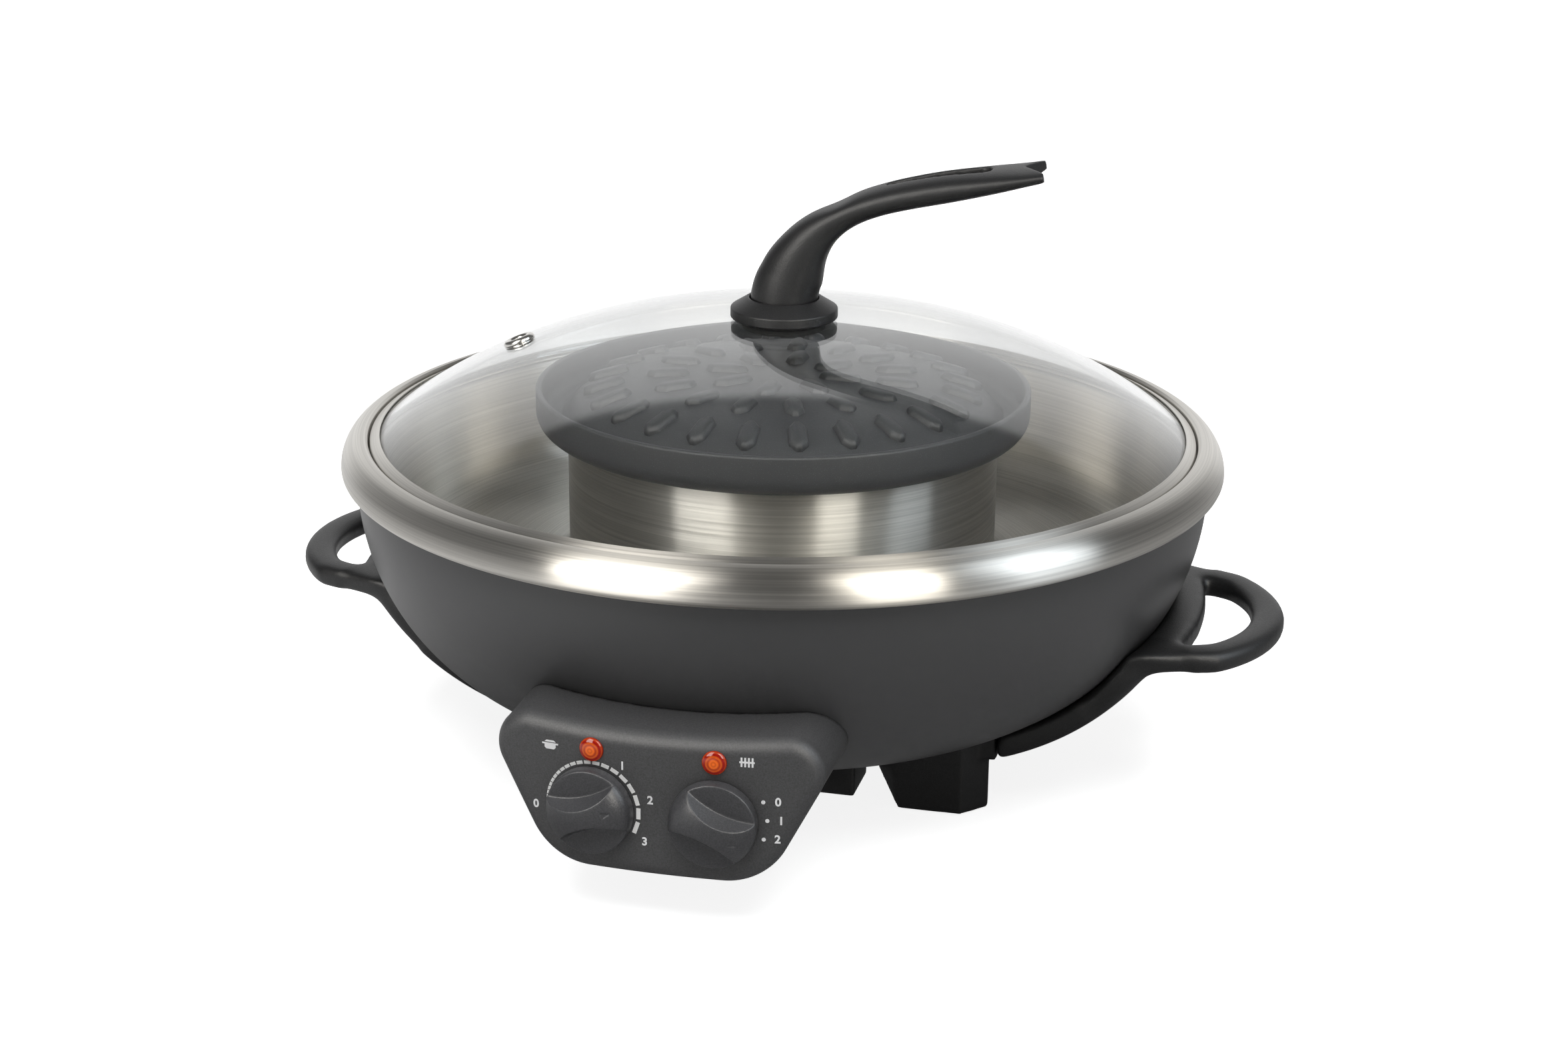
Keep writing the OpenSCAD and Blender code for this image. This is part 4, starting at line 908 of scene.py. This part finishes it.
class HOTPOT_OT_lid_handle(bpy.types.Operator):
    """Builds the bevelled collar and the gooseneck handle with its eye and fork"""

    bl_idname = "hotpot.lid_handle"
    bl_label = "Lid handle"

    def execute(self, context):
        lid = context.scene.hotpot_lid
        low = lid.collar_z
        post = low + lid.collar_h
        sunk = 3 * MM
        bore = 3 * MM
        bevel = 0.8 * MM
        well = lid.post_r + 0.3 * MM
        collar = lathe("handle_collar", rounded([
            (bore, low, 0), (lid.collar_r - bevel, low, 0.4 * MM), (lid.collar_r, low + bevel, 0.5 * MM),
            (lid.collar_r, low + 4.5 * MM, 0.9 * MM), (well + 0.9 * MM, post, 0.5 * MM),
            (well, post, 0.3 * MM), (well, post - sunk, 0), (bore, post - sunk, 0)],
            closed=True, steps=4), "Dark heat-proof plastic", steps=128, sharp=50)
        seat(collar, "lid", "black_plastic", "lid_collar")
        rings = self.neck_rings(lid, post, sunk)
        handle = loft("gooseneck_handle", rings, "Dark heat-proof plastic", sharp=180)
        under = post + lid.rise / 2
        over = post + lid.rise + 30 * MM
        far = lid.reach - 22 * MM
        wide = lid.eye_w / 2
        narrow = 2 * MM
        eye = arc(far - wide, 0, wide, wide, -80, 80, 12)
        eye += arc(far - lid.eye_l + narrow, 0, narrow, narrow, 100, 260, 8)
        cut(handle, prism("eye", eye, under, over))
        past = lid.reach + 22 * MM
        fork = [(lid.reach - 8 * MM, 0), (past, -3 * lid.fork_w), (past, 3 * lid.fork_w)]
        cut(handle, prism("fork", fork, under, over))
        soften(handle, 0.7 * MM, 10)
        transform(handle, Matrix.Rotation(lid.handle_turn, 4, "Z"))
        seat(handle, "lid", "black_plastic", "lid_handle")
        return {"FINISHED"}

    @staticmethod
    def neck_rings(lid, post, sunk):
        """Rings along the gooseneck, from the post in the collar to the flat tip."""
        # The neck's curve by its four control points, and its half thickness and half width in mm along it
        path = [Vector((0, post - sunk)), Vector((8 * MM, post + 46 * MM)),
                Vector((43 * MM, post + lid.rise - 14 * MM)), Vector((lid.reach, post + lid.rise))]
        half_t = [lid.post_r / MM, 13.5, 10.4, 7.8, 6.4, 6.0, 6.1, 6.0, 4.9, 3.2]
        half_w = [lid.post_r / MM, 13.8, 12.8, 11.6, 11.4, 12.2, 13.2, 14.2, 15.4, lid.fork_w / MM]
        # Where the thumb's hollow lies along the neck, and how far it spreads
        thumb_at = 0.42
        thumb_l = 0.07
        steps = 90
        sides = 48
        rings = []
        for k in range(steps + 1):
            t = k / steps
            u = 1 - t
            c = u ** 3 * path[0] + 3 * t * u * u * path[1] + 3 * t * t * u * path[2] + t ** 3 * path[3]
            d = u * u * (path[1] - path[0]) + 2 * t * u * (path[2] - path[1]) + t * t * (path[3] - path[2])
            ease = min(1, 10 * t)
            c.x *= ease
            d.x *= ease
            d.normalize()
            power = 1 - 0.15 * min(1, 4 * t)
            hollow = lid.hollow * math.exp(-((t - thumb_at) / thumb_l) ** 2)
            ring = []
            for i in range(sides):
                a = 2 * math.pi * i / sides
                up = spread(half_t, t) * MM * math.copysign(abs(math.sin(a)) ** power, math.sin(a))
                up -= hollow * max(0.0, math.sin(a)) ** 3
                side = spread(half_w, t) * MM * math.copysign(abs(math.cos(a)) ** power, math.cos(a))
                ring.append((c.x - d.y * up, side, c.y + d.x * up))
            rings.append(ring)
        return rings


class HOTPOT_OT_side_handles(bpy.types.Operator):
    """Builds the two loop handles with their arms under the bowl"""

    bl_idname = "hotpot.side_handles"
    bl_label = "Side handles"

    def execute(self, context):
        s = context.scene.hotpot_sizes
        voxel = 1.1 * MM
        # Where a loop turns down into its arm, at both edges
        crook_r = 164 * MM
        crook_z = 68 * MM
        for side, sign in (("left", -1), ("right", 1)):
            loop = copy_of(side + "_loop_handle", side + "_handle", "Dark heat-proof plastic")
            for vertex in loop.data.vertices:
                vertex.co.y = min(max(vertex.co.y, -s.arm_half_w), s.arm_half_w)
            soften(loop, voxel, 45)
            crooks = [Vector((sign * crook_r, y * s.arm_half_w, crook_z)) for y in (-1, 1)]
            ease_near(loop, crooks, 26 * MM, 60)
            cut(loop, self.hollow(s, sign))
            soften(loop, voxel, 6)
            seat(loop, "base", "black_plastic", side + "_handle")
        return {"FINISHED"}

    @staticmethod
    def hollow(s, sign):
        """The room under an arm between its two ribs."""
        roof = bowl_line(s, -3.4 * MM)
        deep = bowl_line(s, -22 * MM)
        near_r = 119 * MM
        far_r = 168 * MM
        shares = [-1 + i / 8 for i in range(17)]
        rings = []
        for (r_top, z_top), (r_low, z_low) in zip(roof, deep):
            if near_r < r_top < far_r:
                turns = [math.asin(s.arm_hollow * share / r_top) for share in shares]
                ring = [(sign * r_top * math.cos(a), r_top * math.sin(a), z_top) for a in turns]
                ring += [(sign * r_low * math.cos(a), r_low * math.sin(a), z_low) for a in turns[::-1]]
                rings.append(ring)
        return loft("arm_hollow", rings, "Dark heat-proof plastic")


class HOTPOT_OT_base(bpy.types.Operator):
    """Builds the base tray with its block feet"""

    bl_idname = "hotpot.base"
    bl_label = "Base"

    def execute(self, context):
        tray = moulded("base_moulding", "base_tray", "Dark heat-proof plastic", 0.9 * MM, 9)
        seat(tray, "base", "black_plastic", "base_tray")
        return {"FINISHED"}


# Corners of the panel's outline: half distance, height, radius
PANEL_TOP = (51 * MM, 69.5 * MM, 15 * MM)
PANEL_LOW = (27 * MM, 50.3 * MM, 27.3 * MM)


def panel_outline(grow, count=200):
    """Evenly spaced points round the panel, grown or drawn in."""
    circles = [(side * x, z, r + grow) for x, z, r in (PANEL_TOP, PANEL_LOW) for side in (-1, 1)]
    ways = 720
    hull = []
    for k in range(ways):
        way = Vector((math.cos(2 * math.pi * k / ways), math.sin(2 * math.pi * k / ways)))
        x, z, r = max(circles, key=lambda c: c[0] * way.x + c[1] * way.y + c[2])
        hull.append(Vector((x, z)) + r * way)
    lengths = [(hull[(i + 1) % ways] - hull[i]).length for i in range(ways)]
    step = sum(lengths) / count
    points = []
    travelled = 0.0
    for i in range(ways):
        while len(points) * step <= travelled + lengths[i] and len(points) < count:
            f = (len(points) * step - travelled) / max(lengths[i], 1e-9)
            points.append(hull[i].lerp(hull[(i + 1) % ways], f))
        travelled += lengths[i]
    return points


class HOTPOT_OT_housing(bpy.types.Operator):
    """Builds the control housing with its bulged face and its rounded edge"""

    bl_idname = "hotpot.housing"
    bl_label = "Control housing"

    def execute(self, context):
        panel = context.scene.hotpot_panel
        s = context.scene.hotpot_sizes
        rim = panel.round_r
        rings = []
        middle = Vector((0.0, 58 * MM))
        for share in (0.02, 0.15, 0.3, 0.45, 0.6, 0.75, 0.88, 0.96):
            face = [middle.lerp(p, share) for p in panel_outline(-rim)]
            rings.append([self.dipped(panel, on_face(panel, p.x, p.y)) for p in face])
        round_steps = 8
        for i in range(round_steps + 1):
            a = math.pi / 2 * i / round_steps
            edge = panel_outline(-rim * (1 - math.sin(a)))
            sunk = -rim * (1 - math.cos(a))
            rings.append([self.dipped(panel, on_face(panel, p.x, p.y, sunk)) for p in edge])
        front = panel_outline(0.0)
        back = panel_outline(panel.flare)
        depth_steps = 14
        ends = [self.reach(panel, s, f, b) for f, b in zip(front, back)]
        for k in range(1, depth_steps + 1):
            rings.append([self.wall_point(panel, f, b, end * k / depth_steps)
                          for f, b, end in zip(front, back, ends)])
        housing = loft("control_box", rings, "Textured black plastic", sharp=60, closed=False)
        wall = housing.modifiers.new("Wall", "SOLIDIFY")
        wall.thickness = panel.wall
        wall.offset = -1
        settle(housing)
        seat(housing, "base", "black_plastic", "control_housing")
        return {"FINISHED"}

    @staticmethod
    def dipped(panel, point):
        """A point of the housing, with the sag of its top edge."""
        half_w = 52 * MM
        low = 64 * MM
        band = 18 * MM
        across = max(0.0, 1 - (point.x / half_w) ** 2)
        high = min(max((point.z - low) / band, 0.0), 1.0)
        return (point.x, point.y, point.z - panel.dip * across * high)

    @classmethod
    def wall_point(cls, panel, front, back, share):
        """A point on the housing's side, from the face's edge towards the bowl."""
        start_at = on_face(panel, front.x, front.y, -panel.round_r)
        end_at = Vector((back.x, -panel.back_y, back.y))
        return cls.dipped(panel, start_at.lerp(end_at, share))

    @classmethod
    def reach(cls, panel, s, front, back):
        """How far a side runs before it meets the bowl."""
        steps = 100
        gap = 0.4 * MM
        for k in range(steps + 1):
            x, y, z = cls.wall_point(panel, front, back, k / steps)
            if z > s.bowl_top - s.bowl_depth and math.hypot(x, y) < bowl_radius(s, z) + gap:
                return k / steps
        return 1.0


class HOTPOT_OT_knobs(bpy.types.Operator):
    """Builds the two control knobs with their grips and pointers"""

    bl_idname = "hotpot.knobs"
    bl_label = "Knobs"

    def execute(self, context):
        panel = context.scene.hotpot_panel
        for name, body, side in (("pot_knob", "pot_dial", -1), ("grill_knob", "grill_dial", 1)):
            knob = moulded(name + "_cap", name, "Satin black plastic", 0.3 * MM, 6)
            spot = face_frame(panel, side * panel.knob_x, panel.knob_z)
            transform(knob, spot @ Matrix.Scale(panel.knob_low, 4, (0, 0, 1)) @ spot.inverted())
            seat(knob, body, "black_plastic", name)
        return {"FINISHED"}


class HOTPOT_OT_lamps(bpy.types.Operator):
    """Builds the two red lamp lenses"""

    bl_idname = "hotpot.lamps"
    bl_label = "Lamps"

    def execute(self, context):
        panel = context.scene.hotpot_panel
        colours = context.scene.hotpot_colours
        # A lens has a stem in the face, a thin edge on it and a low dome
        stem_r = 4.4 * MM
        sunk = 1 * MM
        gap = 0.1 * MM
        edge = 0.5 * MM
        rise = 1.6 * MM
        for name, side in (("pot_lamp", -1), ("grill_lamp", 1)):
            spot = face_frame(panel, side * panel.knob_x, panel.lamp_z)
            finish = "Red lens, " + name
            lamp_lens(colours, finish, spot.translation, spot.col[2].to_3d())
            outline = [(0.0, -sunk), (stem_r, -sunk), (stem_r, gap), (panel.lamp_r, gap)]
            outline += arc(0, edge, panel.lamp_r, rise, 0, 90, 12)[:-1] + [(0.0, edge + rise)]
            lens = lathe(name + "_dome", outline, finish, closed=False, steps=64)
            seat(transform(lens, spot), "base", "red_lens", name + "_lens")
        return {"FINISHED"}


def dash_tree():
    """Geometry nodes that set dashes along an arc, each longer and wider than the last."""
    tree = bpy.data.node_groups.new("Dash scale", "GeometryNodeTree")
    tree.interface.new_socket("Count", in_out="INPUT", socket_type="NodeSocketInt")
    for name in ("Radius", "Start", "Sweep", "Growth", "Fill", "Thin", "Thick", "Ink"):
        tree.interface.new_socket(name, in_out="INPUT", socket_type="NodeSocketFloat")
    tree.interface.new_socket("Finish", in_out="INPUT", socket_type="NodeSocketMaterial")
    tree.interface.new_socket("Dashes", in_out="OUTPUT", socket_type="NodeSocketGeometry")
    given = add(tree, "NodeGroupInput").outputs
    index = add(tree, "GeometryNodeInputIndex").outputs["Index"]
    gaps = add(tree, "ShaderNodeMath", {0: given["Count"], 1: 1.0}, operation="SUBTRACT")
    share = add(tree, "ShaderNodeMath", {0: index, 1: gaps.outputs[0]}, operation="DIVIDE")
    square = add(tree, "ShaderNodeMath", {0: share.outputs[0], 1: share.outputs[0]}, operation="MULTIPLY")
    cube = add(tree, "ShaderNodeMath", {0: square.outputs[0], 1: share.outputs[0]}, operation="MULTIPLY")
    bent = add(tree, "ShaderNodeMix", {0: given["Growth"], 2: share.outputs[0], 3: cube.outputs[0]},
               data_type="FLOAT")
    angle = add(tree, "ShaderNodeMath", {0: bent.outputs[0], 1: given["Sweep"], 2: given["Start"]},
                operation="MULTIPLY_ADD")
    east = add(tree, "ShaderNodeMath", {0: angle.outputs[0]}, operation="COSINE")
    north = add(tree, "ShaderNodeMath", {0: angle.outputs[0]}, operation="SINE")
    way = add(tree, "ShaderNodeCombineXYZ", {"X": east.outputs[0], "Y": north.outputs[0]})
    spot = add(tree, "ShaderNodeVectorMath", {0: way.outputs["Vector"], "Scale": given["Radius"]},
               operation="SCALE")
    points = add(tree, "GeometryNodePoints", {"Count": given["Count"], "Position": spot.outputs["Vector"]})
    triple = add(tree, "ShaderNodeMath", {0: square.outputs[0], 1: 3.0}, operation="MULTIPLY")
    pace = add(tree, "ShaderNodeMix", {0: given["Growth"], 2: 1.0, 3: triple.outputs[0]}, data_type="FLOAT")
    span = add(tree, "ShaderNodeMath", {0: given["Sweep"], 1: gaps.outputs[0]}, operation="DIVIDE")
    pitch = add(tree, "ShaderNodeMath", {0: span.outputs[0], 1: given["Radius"]}, operation="MULTIPLY")
    run = add(tree, "ShaderNodeMath", {0: pitch.outputs[0], 1: pace.outputs[0]}, operation="MULTIPLY")
    dash_l = add(tree, "ShaderNodeMath", {0: run.outputs[0], 1: given["Fill"]}, operation="MULTIPLY")
    dash_w = add(tree, "ShaderNodeMix", {0: share.outputs[0], 2: given["Thin"], 3: given["Thick"]},
                 data_type="FLOAT")
    size = add(tree, "ShaderNodeCombineXYZ", {"X": dash_w.outputs[0], "Y": dash_l.outputs[0],
                                              "Z": given["Ink"]})
    heading = add(tree, "ShaderNodeCombineXYZ", {"Z": angle.outputs[0]})
    dash = add(tree, "GeometryNodeMeshCube", {"Size": (1.0, 1.0, 2.0)})
    dashes = add(tree, "GeometryNodeInstanceOnPoints", {"Points": points.outputs[0],
                                                        "Instance": dash.outputs["Mesh"],
                                                        "Rotation": heading.outputs["Vector"],
                                                        "Scale": size.outputs["Vector"]})
    real = add(tree, "GeometryNodeRealizeInstances", {"Geometry": dashes.outputs["Instances"]})
    done = add(tree, "GeometryNodeSetMaterial", {"Geometry": real.outputs["Geometry"],
                                                 "Material": given["Finish"]})
    add(tree, "NodeGroupOutput", {"Dashes": done.outputs["Geometry"]})
    return tree


# Places of the dots, the numbers and the signs on the panel, across and up, in mm
DOTS = ((42.8, 59.0), (44.4, 51.4), (43.1, 43.6))
NUMBERS = (("0", -47.8, 47.4), ("1", -11.9, 68.6), ("2", -0.9, 55.7), ("3", -3.2, 38.2),
           ("0", 48.4, 59.2), ("1", 49.6, 51.5), ("2", 48.3, 43.8))
POT_SIGN_AT = (-41.4, 73.3)
GRILL_SIGN_AT = (36.6, 74.9)
# Corners of the parts of the two signs, a pot with a lid and a grate, in mm
POT_SIGN = (
    ((-2.3, 0.6), (-2.3, -1.2), (-1.6, -1.9), (1.6, -1.9), (2.3, -1.2), (2.3, 0.6)),
    ((-2.3, 1.0), (2.3, 1.0), (1.5, 1.7), (-1.5, 1.7)),
    ((-3.3, 0.6), (-3.3, 0.0), (-2.3, 0.0), (-2.3, 0.6)),
    ((2.3, 0.6), (2.3, 0.0), (3.3, 0.0), (3.3, 0.6)),
)
GRILL_SIGN = tuple(
    ((x - 0.35, -1.9), (x + 0.35, -1.9), (x + 0.35, 1.9), (x - 0.35, 1.9)) for x in (-2.1, -0.7, 0.7, 2.1)
) + (((-2.9, -0.35), (2.9, -0.35), (2.9, 0.35), (-2.9, 0.35)),)


def figure(text, height, ink):
    """A printed number in the plane of the face, centred, as a thin mesh."""
    # Height of a number in Blender's own font, as a share of the font's size
    share = 0.69
    curve = bpy.data.curves.new("figure_" + text, "FONT")
    curve.body = text
    curve.size = height / share
    curve.extrude = ink
    curve.offset = 0.04 * height
    curve.align_x = "CENTER"
    curve.align_y = "CENTER"
    letter = object_of("figure_" + text, curve)
    mesh = plain_mesh(letter)
    bpy.data.objects.remove(letter)
    coat(mesh, "Pale panel print")
    return object_of("figure_" + text, mesh)


class HOTPOT_OT_print(bpy.types.Operator):
    """Prints the heat scale, the dots, plain numbers and two signs on the panel"""

    bl_idname = "hotpot.print"
    bl_label = "Panel print"

    def execute(self, context):
        panel = context.scene.hotpot_panel
        ink = panel.ink
        values = {"Count": panel.dash_count, "Radius": panel.dash_r, "Start": math.radians(180),
                  "Sweep": math.radians(-199), "Growth": 0.46, "Fill": -0.8, "Thin": 0.9 * MM,
                  "Thick": 1.7 * MM, "Ink": ink}
        scale = from_tree("heat_scale", dash_tree(), "Pale panel print", values)
        marks = [transform(scale, Matrix.Translation((-panel.knob_x, panel.knob_z, 0)))]
        dot_r = 0.8 * MM
        for x, z in DOTS:
            circle = arc(x * MM, z * MM, dot_r, dot_r, 0, 360, 16)[:-1]
            marks.append(prism("dot", circle, -ink, ink, "Pale panel print"))
        number_h = 3.2 * MM
        for text, x, z in NUMBERS:
            marks.append(transform(figure(text, number_h, ink), Matrix.Translation((x * MM, z * MM, 0))))
        for (x, z), sign in ((POT_SIGN_AT, POT_SIGN), (GRILL_SIGN_AT, GRILL_SIGN)):
            for corners in sign:
                outline = [((x + a) * MM, (z + b) * MM) for a, b in corners]
                marks.append(prism("sign", outline, -ink, ink, "Pale panel print"))
        printed = join(marks)
        for vertex in printed.data.vertices:
            vertex.co = on_face(panel, vertex.co.x, vertex.co.y, vertex.co.z)
        smooth(printed, 30)
        seat(printed, "base", "white_plastic")
        return {"FINISHED"}


class HOTPOT_OT_inside(bpy.types.Operator):
    """Gives the solids that stay in view or inside their finishes"""

    bl_idname = "hotpot.inside"
    bl_label = "Fittings and inner parts"

    def execute(self, context):
        finishes = {
            "Zinc-plated steel": ("cover_screws", "handle_screws", "pot_studs", "stud_nuts", "heat_reflector",
                                  "pot_heater", "grill_heater", "plate_studs", "plate_nuts", "housing_screws",
                                  "thermostat_shaft", "selector_shaft", "lid_screw"),
            "Cast aluminium": ("heater_plate",),
            "Black silicone rubber": ("foot_pads", "cord_gland", "lid_washers"),
            "Brown phenolic": ("thermal_cutout", "thermostat", "selector_switch"),
            "Ivory nylon": ("terminal_block", "lamp_holders"),
            "Dark heat-proof plastic": ("base_cover",),
        }
        for finish, nodes in finishes.items():
            for node in nodes:
                coat(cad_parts[node].data, finish)
        return {"FINISHED"}


# Stage


def ray_kinds(tree):
    """Two sockets: is a ray the camera's own, straight or through glass, and was it mirrored on its way."""
    path = add(tree, "ShaderNodeLightPath").outputs
    mirrored = add(tree, "ShaderNodeMath", {0: path["Glossy Depth"], 1: path["Is Glossy Ray"]},
                   operation="ADD", use_clamp=True).outputs[0]
    bounced = add(tree, "ShaderNodeMath", {0: mirrored, 1: path["Diffuse Depth"]},
                  operation="ADD", use_clamp=True)
    straight = add(tree, "ShaderNodeMath", {0: path["Is Camera Ray"], 1: path["Is Transmission Ray"]},
                   operation="MAXIMUM")
    seen = add(tree, "ShaderNodeMath", {0: straight.outputs[0], 1: bounced.outputs[0]},
               operation="SUBTRACT", use_clamp=True)
    return seen.outputs[0], mirrored


def backdrop(tree, place):
    """Two sockets: how far ahead a place lies, and how much of a lit backdrop it shows.
    The backdrop fades to both sides."""
    ahead = add(tree, "ShaderNodeVectorMath", {0: place, 1: AHEAD}, operation="DOT_PRODUCT")
    aside = add(tree, "ShaderNodeVectorMath", {0: place, 1: ASIDE}, operation="DOT_PRODUCT")
    off = add(tree, "ShaderNodeMath", {0: aside.outputs["Value"]}, operation="ABSOLUTE")
    near = add(tree, "ShaderNodeMath", {0: ahead.outputs["Value"], 1: 0.8}, operation="MULTIPLY")
    inside = add(tree, "ShaderNodeMath", {0: near.outputs[0], 1: off.outputs[0]}, operation="SUBTRACT")
    fade = add(tree, "ShaderNodeMapRange", {"Value": inside.outputs[0], "From Min": -0.25, "From Max": 0.35},
               interpolation_type="SMOOTHSTEP")
    return ahead.outputs["Value"], fade.outputs["Result"]


def make_world(context):
    """A white studio: white to the camera, with a white wall behind for mirrors and a soft plain light."""
    dim = 0.12
    world = bpy.data.worlds.new("White studio")
    context.scene.world = world
    world.use_nodes = True
    tree = world.node_tree
    seen, mirrored = ray_kinds(tree)
    way = add(tree, "ShaderNodeTexCoord").outputs["Generated"]
    up = add(tree, "ShaderNodeSeparateXYZ", {"Vector": way})
    ahead, fade = backdrop(tree, way)
    edge = add(tree, "ShaderNodeMath", {0: ahead, 1: 0.95}, operation="MULTIPLY")
    under = add(tree, "ShaderNodeMath", {0: edge.outputs[0], 1: up.outputs["Z"]}, operation="SUBTRACT")
    wall = add(tree, "ShaderNodeMapRange", {"Value": under.outputs[0], "From Min": -0.04, "From Max": 0.04,
                                            "To Min": 0.0, "To Max": 0.85}, interpolation_type="SMOOTHSTEP")
    lit = add(tree, "ShaderNodeMath", {0: wall.outputs["Result"], 1: fade, 2: dim}, operation="MULTIPLY_ADD")
    shown = add(tree, "ShaderNodeMix", {"Factor": mirrored, 2: dim, 3: lit.outputs[0]}, data_type="FLOAT")
    level = add(tree, "ShaderNodeMix", {"Factor": seen, 2: shown.outputs[0], 3: 1.0}, data_type="FLOAT")
    wire(tree, tree.nodes["Background"], {"Color": (1, 1, 1, 1), "Strength": level.outputs[0]})


def make_floor(stage):
    """A pale floor that shows white and keeps the object's shadow.
    Mirrors see it lit behind the object and at both sides."""
    half = 8.0
    near = 0.12
    far = 0.32
    tree, shader, place = start("Pale floor")
    seen, mirrored = ray_kinds(tree)
    lit = backdrop(tree, place)[1]
    aside = add(tree, "ShaderNodeVectorMath", {0: place, 1: ASIDE}, operation="DOT_PRODUCT")
    for sign, most in ((-1, 0.68), (1, 0.25)):
        side = add(tree, "ShaderNodeMapRange", {"Value": aside.outputs["Value"], "From Min": sign * near,
                                                "From Max": sign * far, "To Min": 0.0, "To Max": most},
                   interpolation_type="SMOOTHSTEP")
        lit = add(tree, "ShaderNodeMath", {0: lit, 1: side.outputs["Result"]}, operation="MAXIMUM").outputs[0]
    mirror = add(tree, "ShaderNodeMath", {0: mirrored, 1: lit}, operation="MULTIPLY")
    glow = add(tree, "ShaderNodeMath", {0: seen, 1: 0.86, 2: mirror.outputs[0]}, operation="MULTIPLY_ADD")
    tone = add(tree, "ShaderNodeMix", {"Factor": mirrored, "A": rgba(stage.floor),
                                       "B": shade(stage.floor, 0.25)}, data_type="RGBA")
    wire(tree, shader, {"Base Color": tone.outputs["Result"], "Roughness": 0.9, "Specular IOR Level": 0.0,
                        "Emission Color": (1, 1, 1, 1), "Emission Strength": glow.outputs[0]})
    corners = [(-half, -half, 0), (half, -half, 0), (half, half, 0), (-half, half, 0)]
    floor = piece_from("floor", corners, [(0, 1, 2, 3)], "Pale floor")


# Lamps: name, azimuth and elevation in degrees, width and height in metres, power in watts and colour
LAMPS = (
    ("Left box", -28, 35, 1.15, 1.9, 42, "#fffcf6"),
    ("Right box", 43, 35, 0.75, 1.9, 30, "#fffbf2"),
    ("Side box", 85, 35, 0.9, 1.6, 20, "#eef7ff"),
    ("Top box", 10, 68, 1.8, 1.8, 50, "#ffffff"),
)
LAMP_DISTANCE = 2.2


class HOTPOT_OT_stage(bpy.types.Operator):
    """Sets up the camera, the lamps, the floor and the white studio"""

    bl_idname = "hotpot.stage"
    bl_label = "Stage"

    def execute(self, context):
        stage = context.scene.hotpot_stage
        context.scene.view_settings.view_transform = "Standard"
        camera = object_of("Camera", bpy.data.cameras.new("Camera"))
        camera.data.sensor_width = 36
        camera.data.lens = stage.lens
        level = math.cos(stage.tilt)
        ahead = Vector((math.sin(stage.pan) * level, math.cos(stage.pan) * level, -math.sin(stage.tilt)))
        right = ahead.cross(Vector((0, 0, 1))).normalized()
        up = right.cross(ahead)
        aim = Matrix((right, up, -ahead)).transposed().to_4x4()
        place = Matrix.Translation((0, -stage.distance, stage.height))
        camera.matrix_world = (Matrix.Rotation(stage.azimuth, 4, "Z") @ place @ aim
                               @ Matrix.Rotation(stage.roll, 4, "Z"))
        context.scene.camera = camera
        for name, azimuth, elevation, wide, high, power, tone in LAMPS:
            lamp = bpy.data.lights.new(name, "AREA")
            lamp.shape = "RECTANGLE"
            lamp.size = wide
            lamp.size_y = high
            lamp.energy = power
            lamp.color = srgb(tone)
            a = math.radians(azimuth)
            e = math.radians(elevation)
            away = Vector((math.sin(a) * math.cos(e), -math.cos(a) * math.cos(e), math.sin(e)))
            turned = away.to_track_quat("Z", "Y").to_matrix().to_4x4()
            stand = object_of(name, lamp)
            stand.matrix_world = Matrix.Translation(away * LAMP_DISTANCE) @ turned
            # The three tall boxes show only in mirrors and glass, and the top box only lights
            stand.visible_diffuse = name == "Top box"
            stand.visible_glossy = name != "Top box"
            stand.visible_transmission = name != "Top box"
        make_world(context)
        make_floor(stage)
        return {"FINISHED"}


PIECES = (HOTPOT_OT_stage, HOTPOT_OT_bowl, HOTPOT_OT_pot, HOTPOT_OT_grill, HOTPOT_OT_lid,
          HOTPOT_OT_lid_handle, HOTPOT_OT_side_handles, HOTPOT_OT_base, HOTPOT_OT_housing, HOTPOT_OT_knobs,
          HOTPOT_OT_lamps, HOTPOT_OT_print, HOTPOT_OT_inside)


class HOTPOT_PT_panel(bpy.types.Panel):
    """Lists the steps that dress the hot pot"""

    bl_idname = "HOTPOT_PT_panel"
    bl_label = "Hot pot"
    bl_space_type = "VIEW_3D"
    bl_region_type = "UI"
    bl_category = "Hot pot"

    def draw(self, context):
        for piece in PIECES:
            self.layout.operator(piece.bl_idname)


GROUPS = {"hotpot_sizes": HotPotSizes, "hotpot_lid": LidSizes, "hotpot_panel": PanelSizes,
          "hotpot_colours": FinishColours, "hotpot_stage": StageSettings}


def register():
    for group in GROUPS.values():
        bpy.utils.register_class(group)
    for cls in (*PIECES, HOTPOT_PT_panel):
        bpy.utils.register_class(cls)
    for name, group in GROUPS.items():
        setattr(bpy.types.Scene, name, PointerProperty(type=group))


def unregister():
    for name in GROUPS:
        delattr(bpy.types.Scene, name)
    for cls in (*PIECES, HOTPOT_PT_panel, *GROUPS.values()):
        bpy.utils.unregister_class(cls)


def main():
    """Dresses the whole object."""
    register()
    make_finishes(bpy.context.scene.hotpot_colours)
    for piece in PIECES:
        module, name = piece.bl_idname.split(".")
        getattr(getattr(bpy.ops, module), name)()


if __name__ == "__main__":
    main()
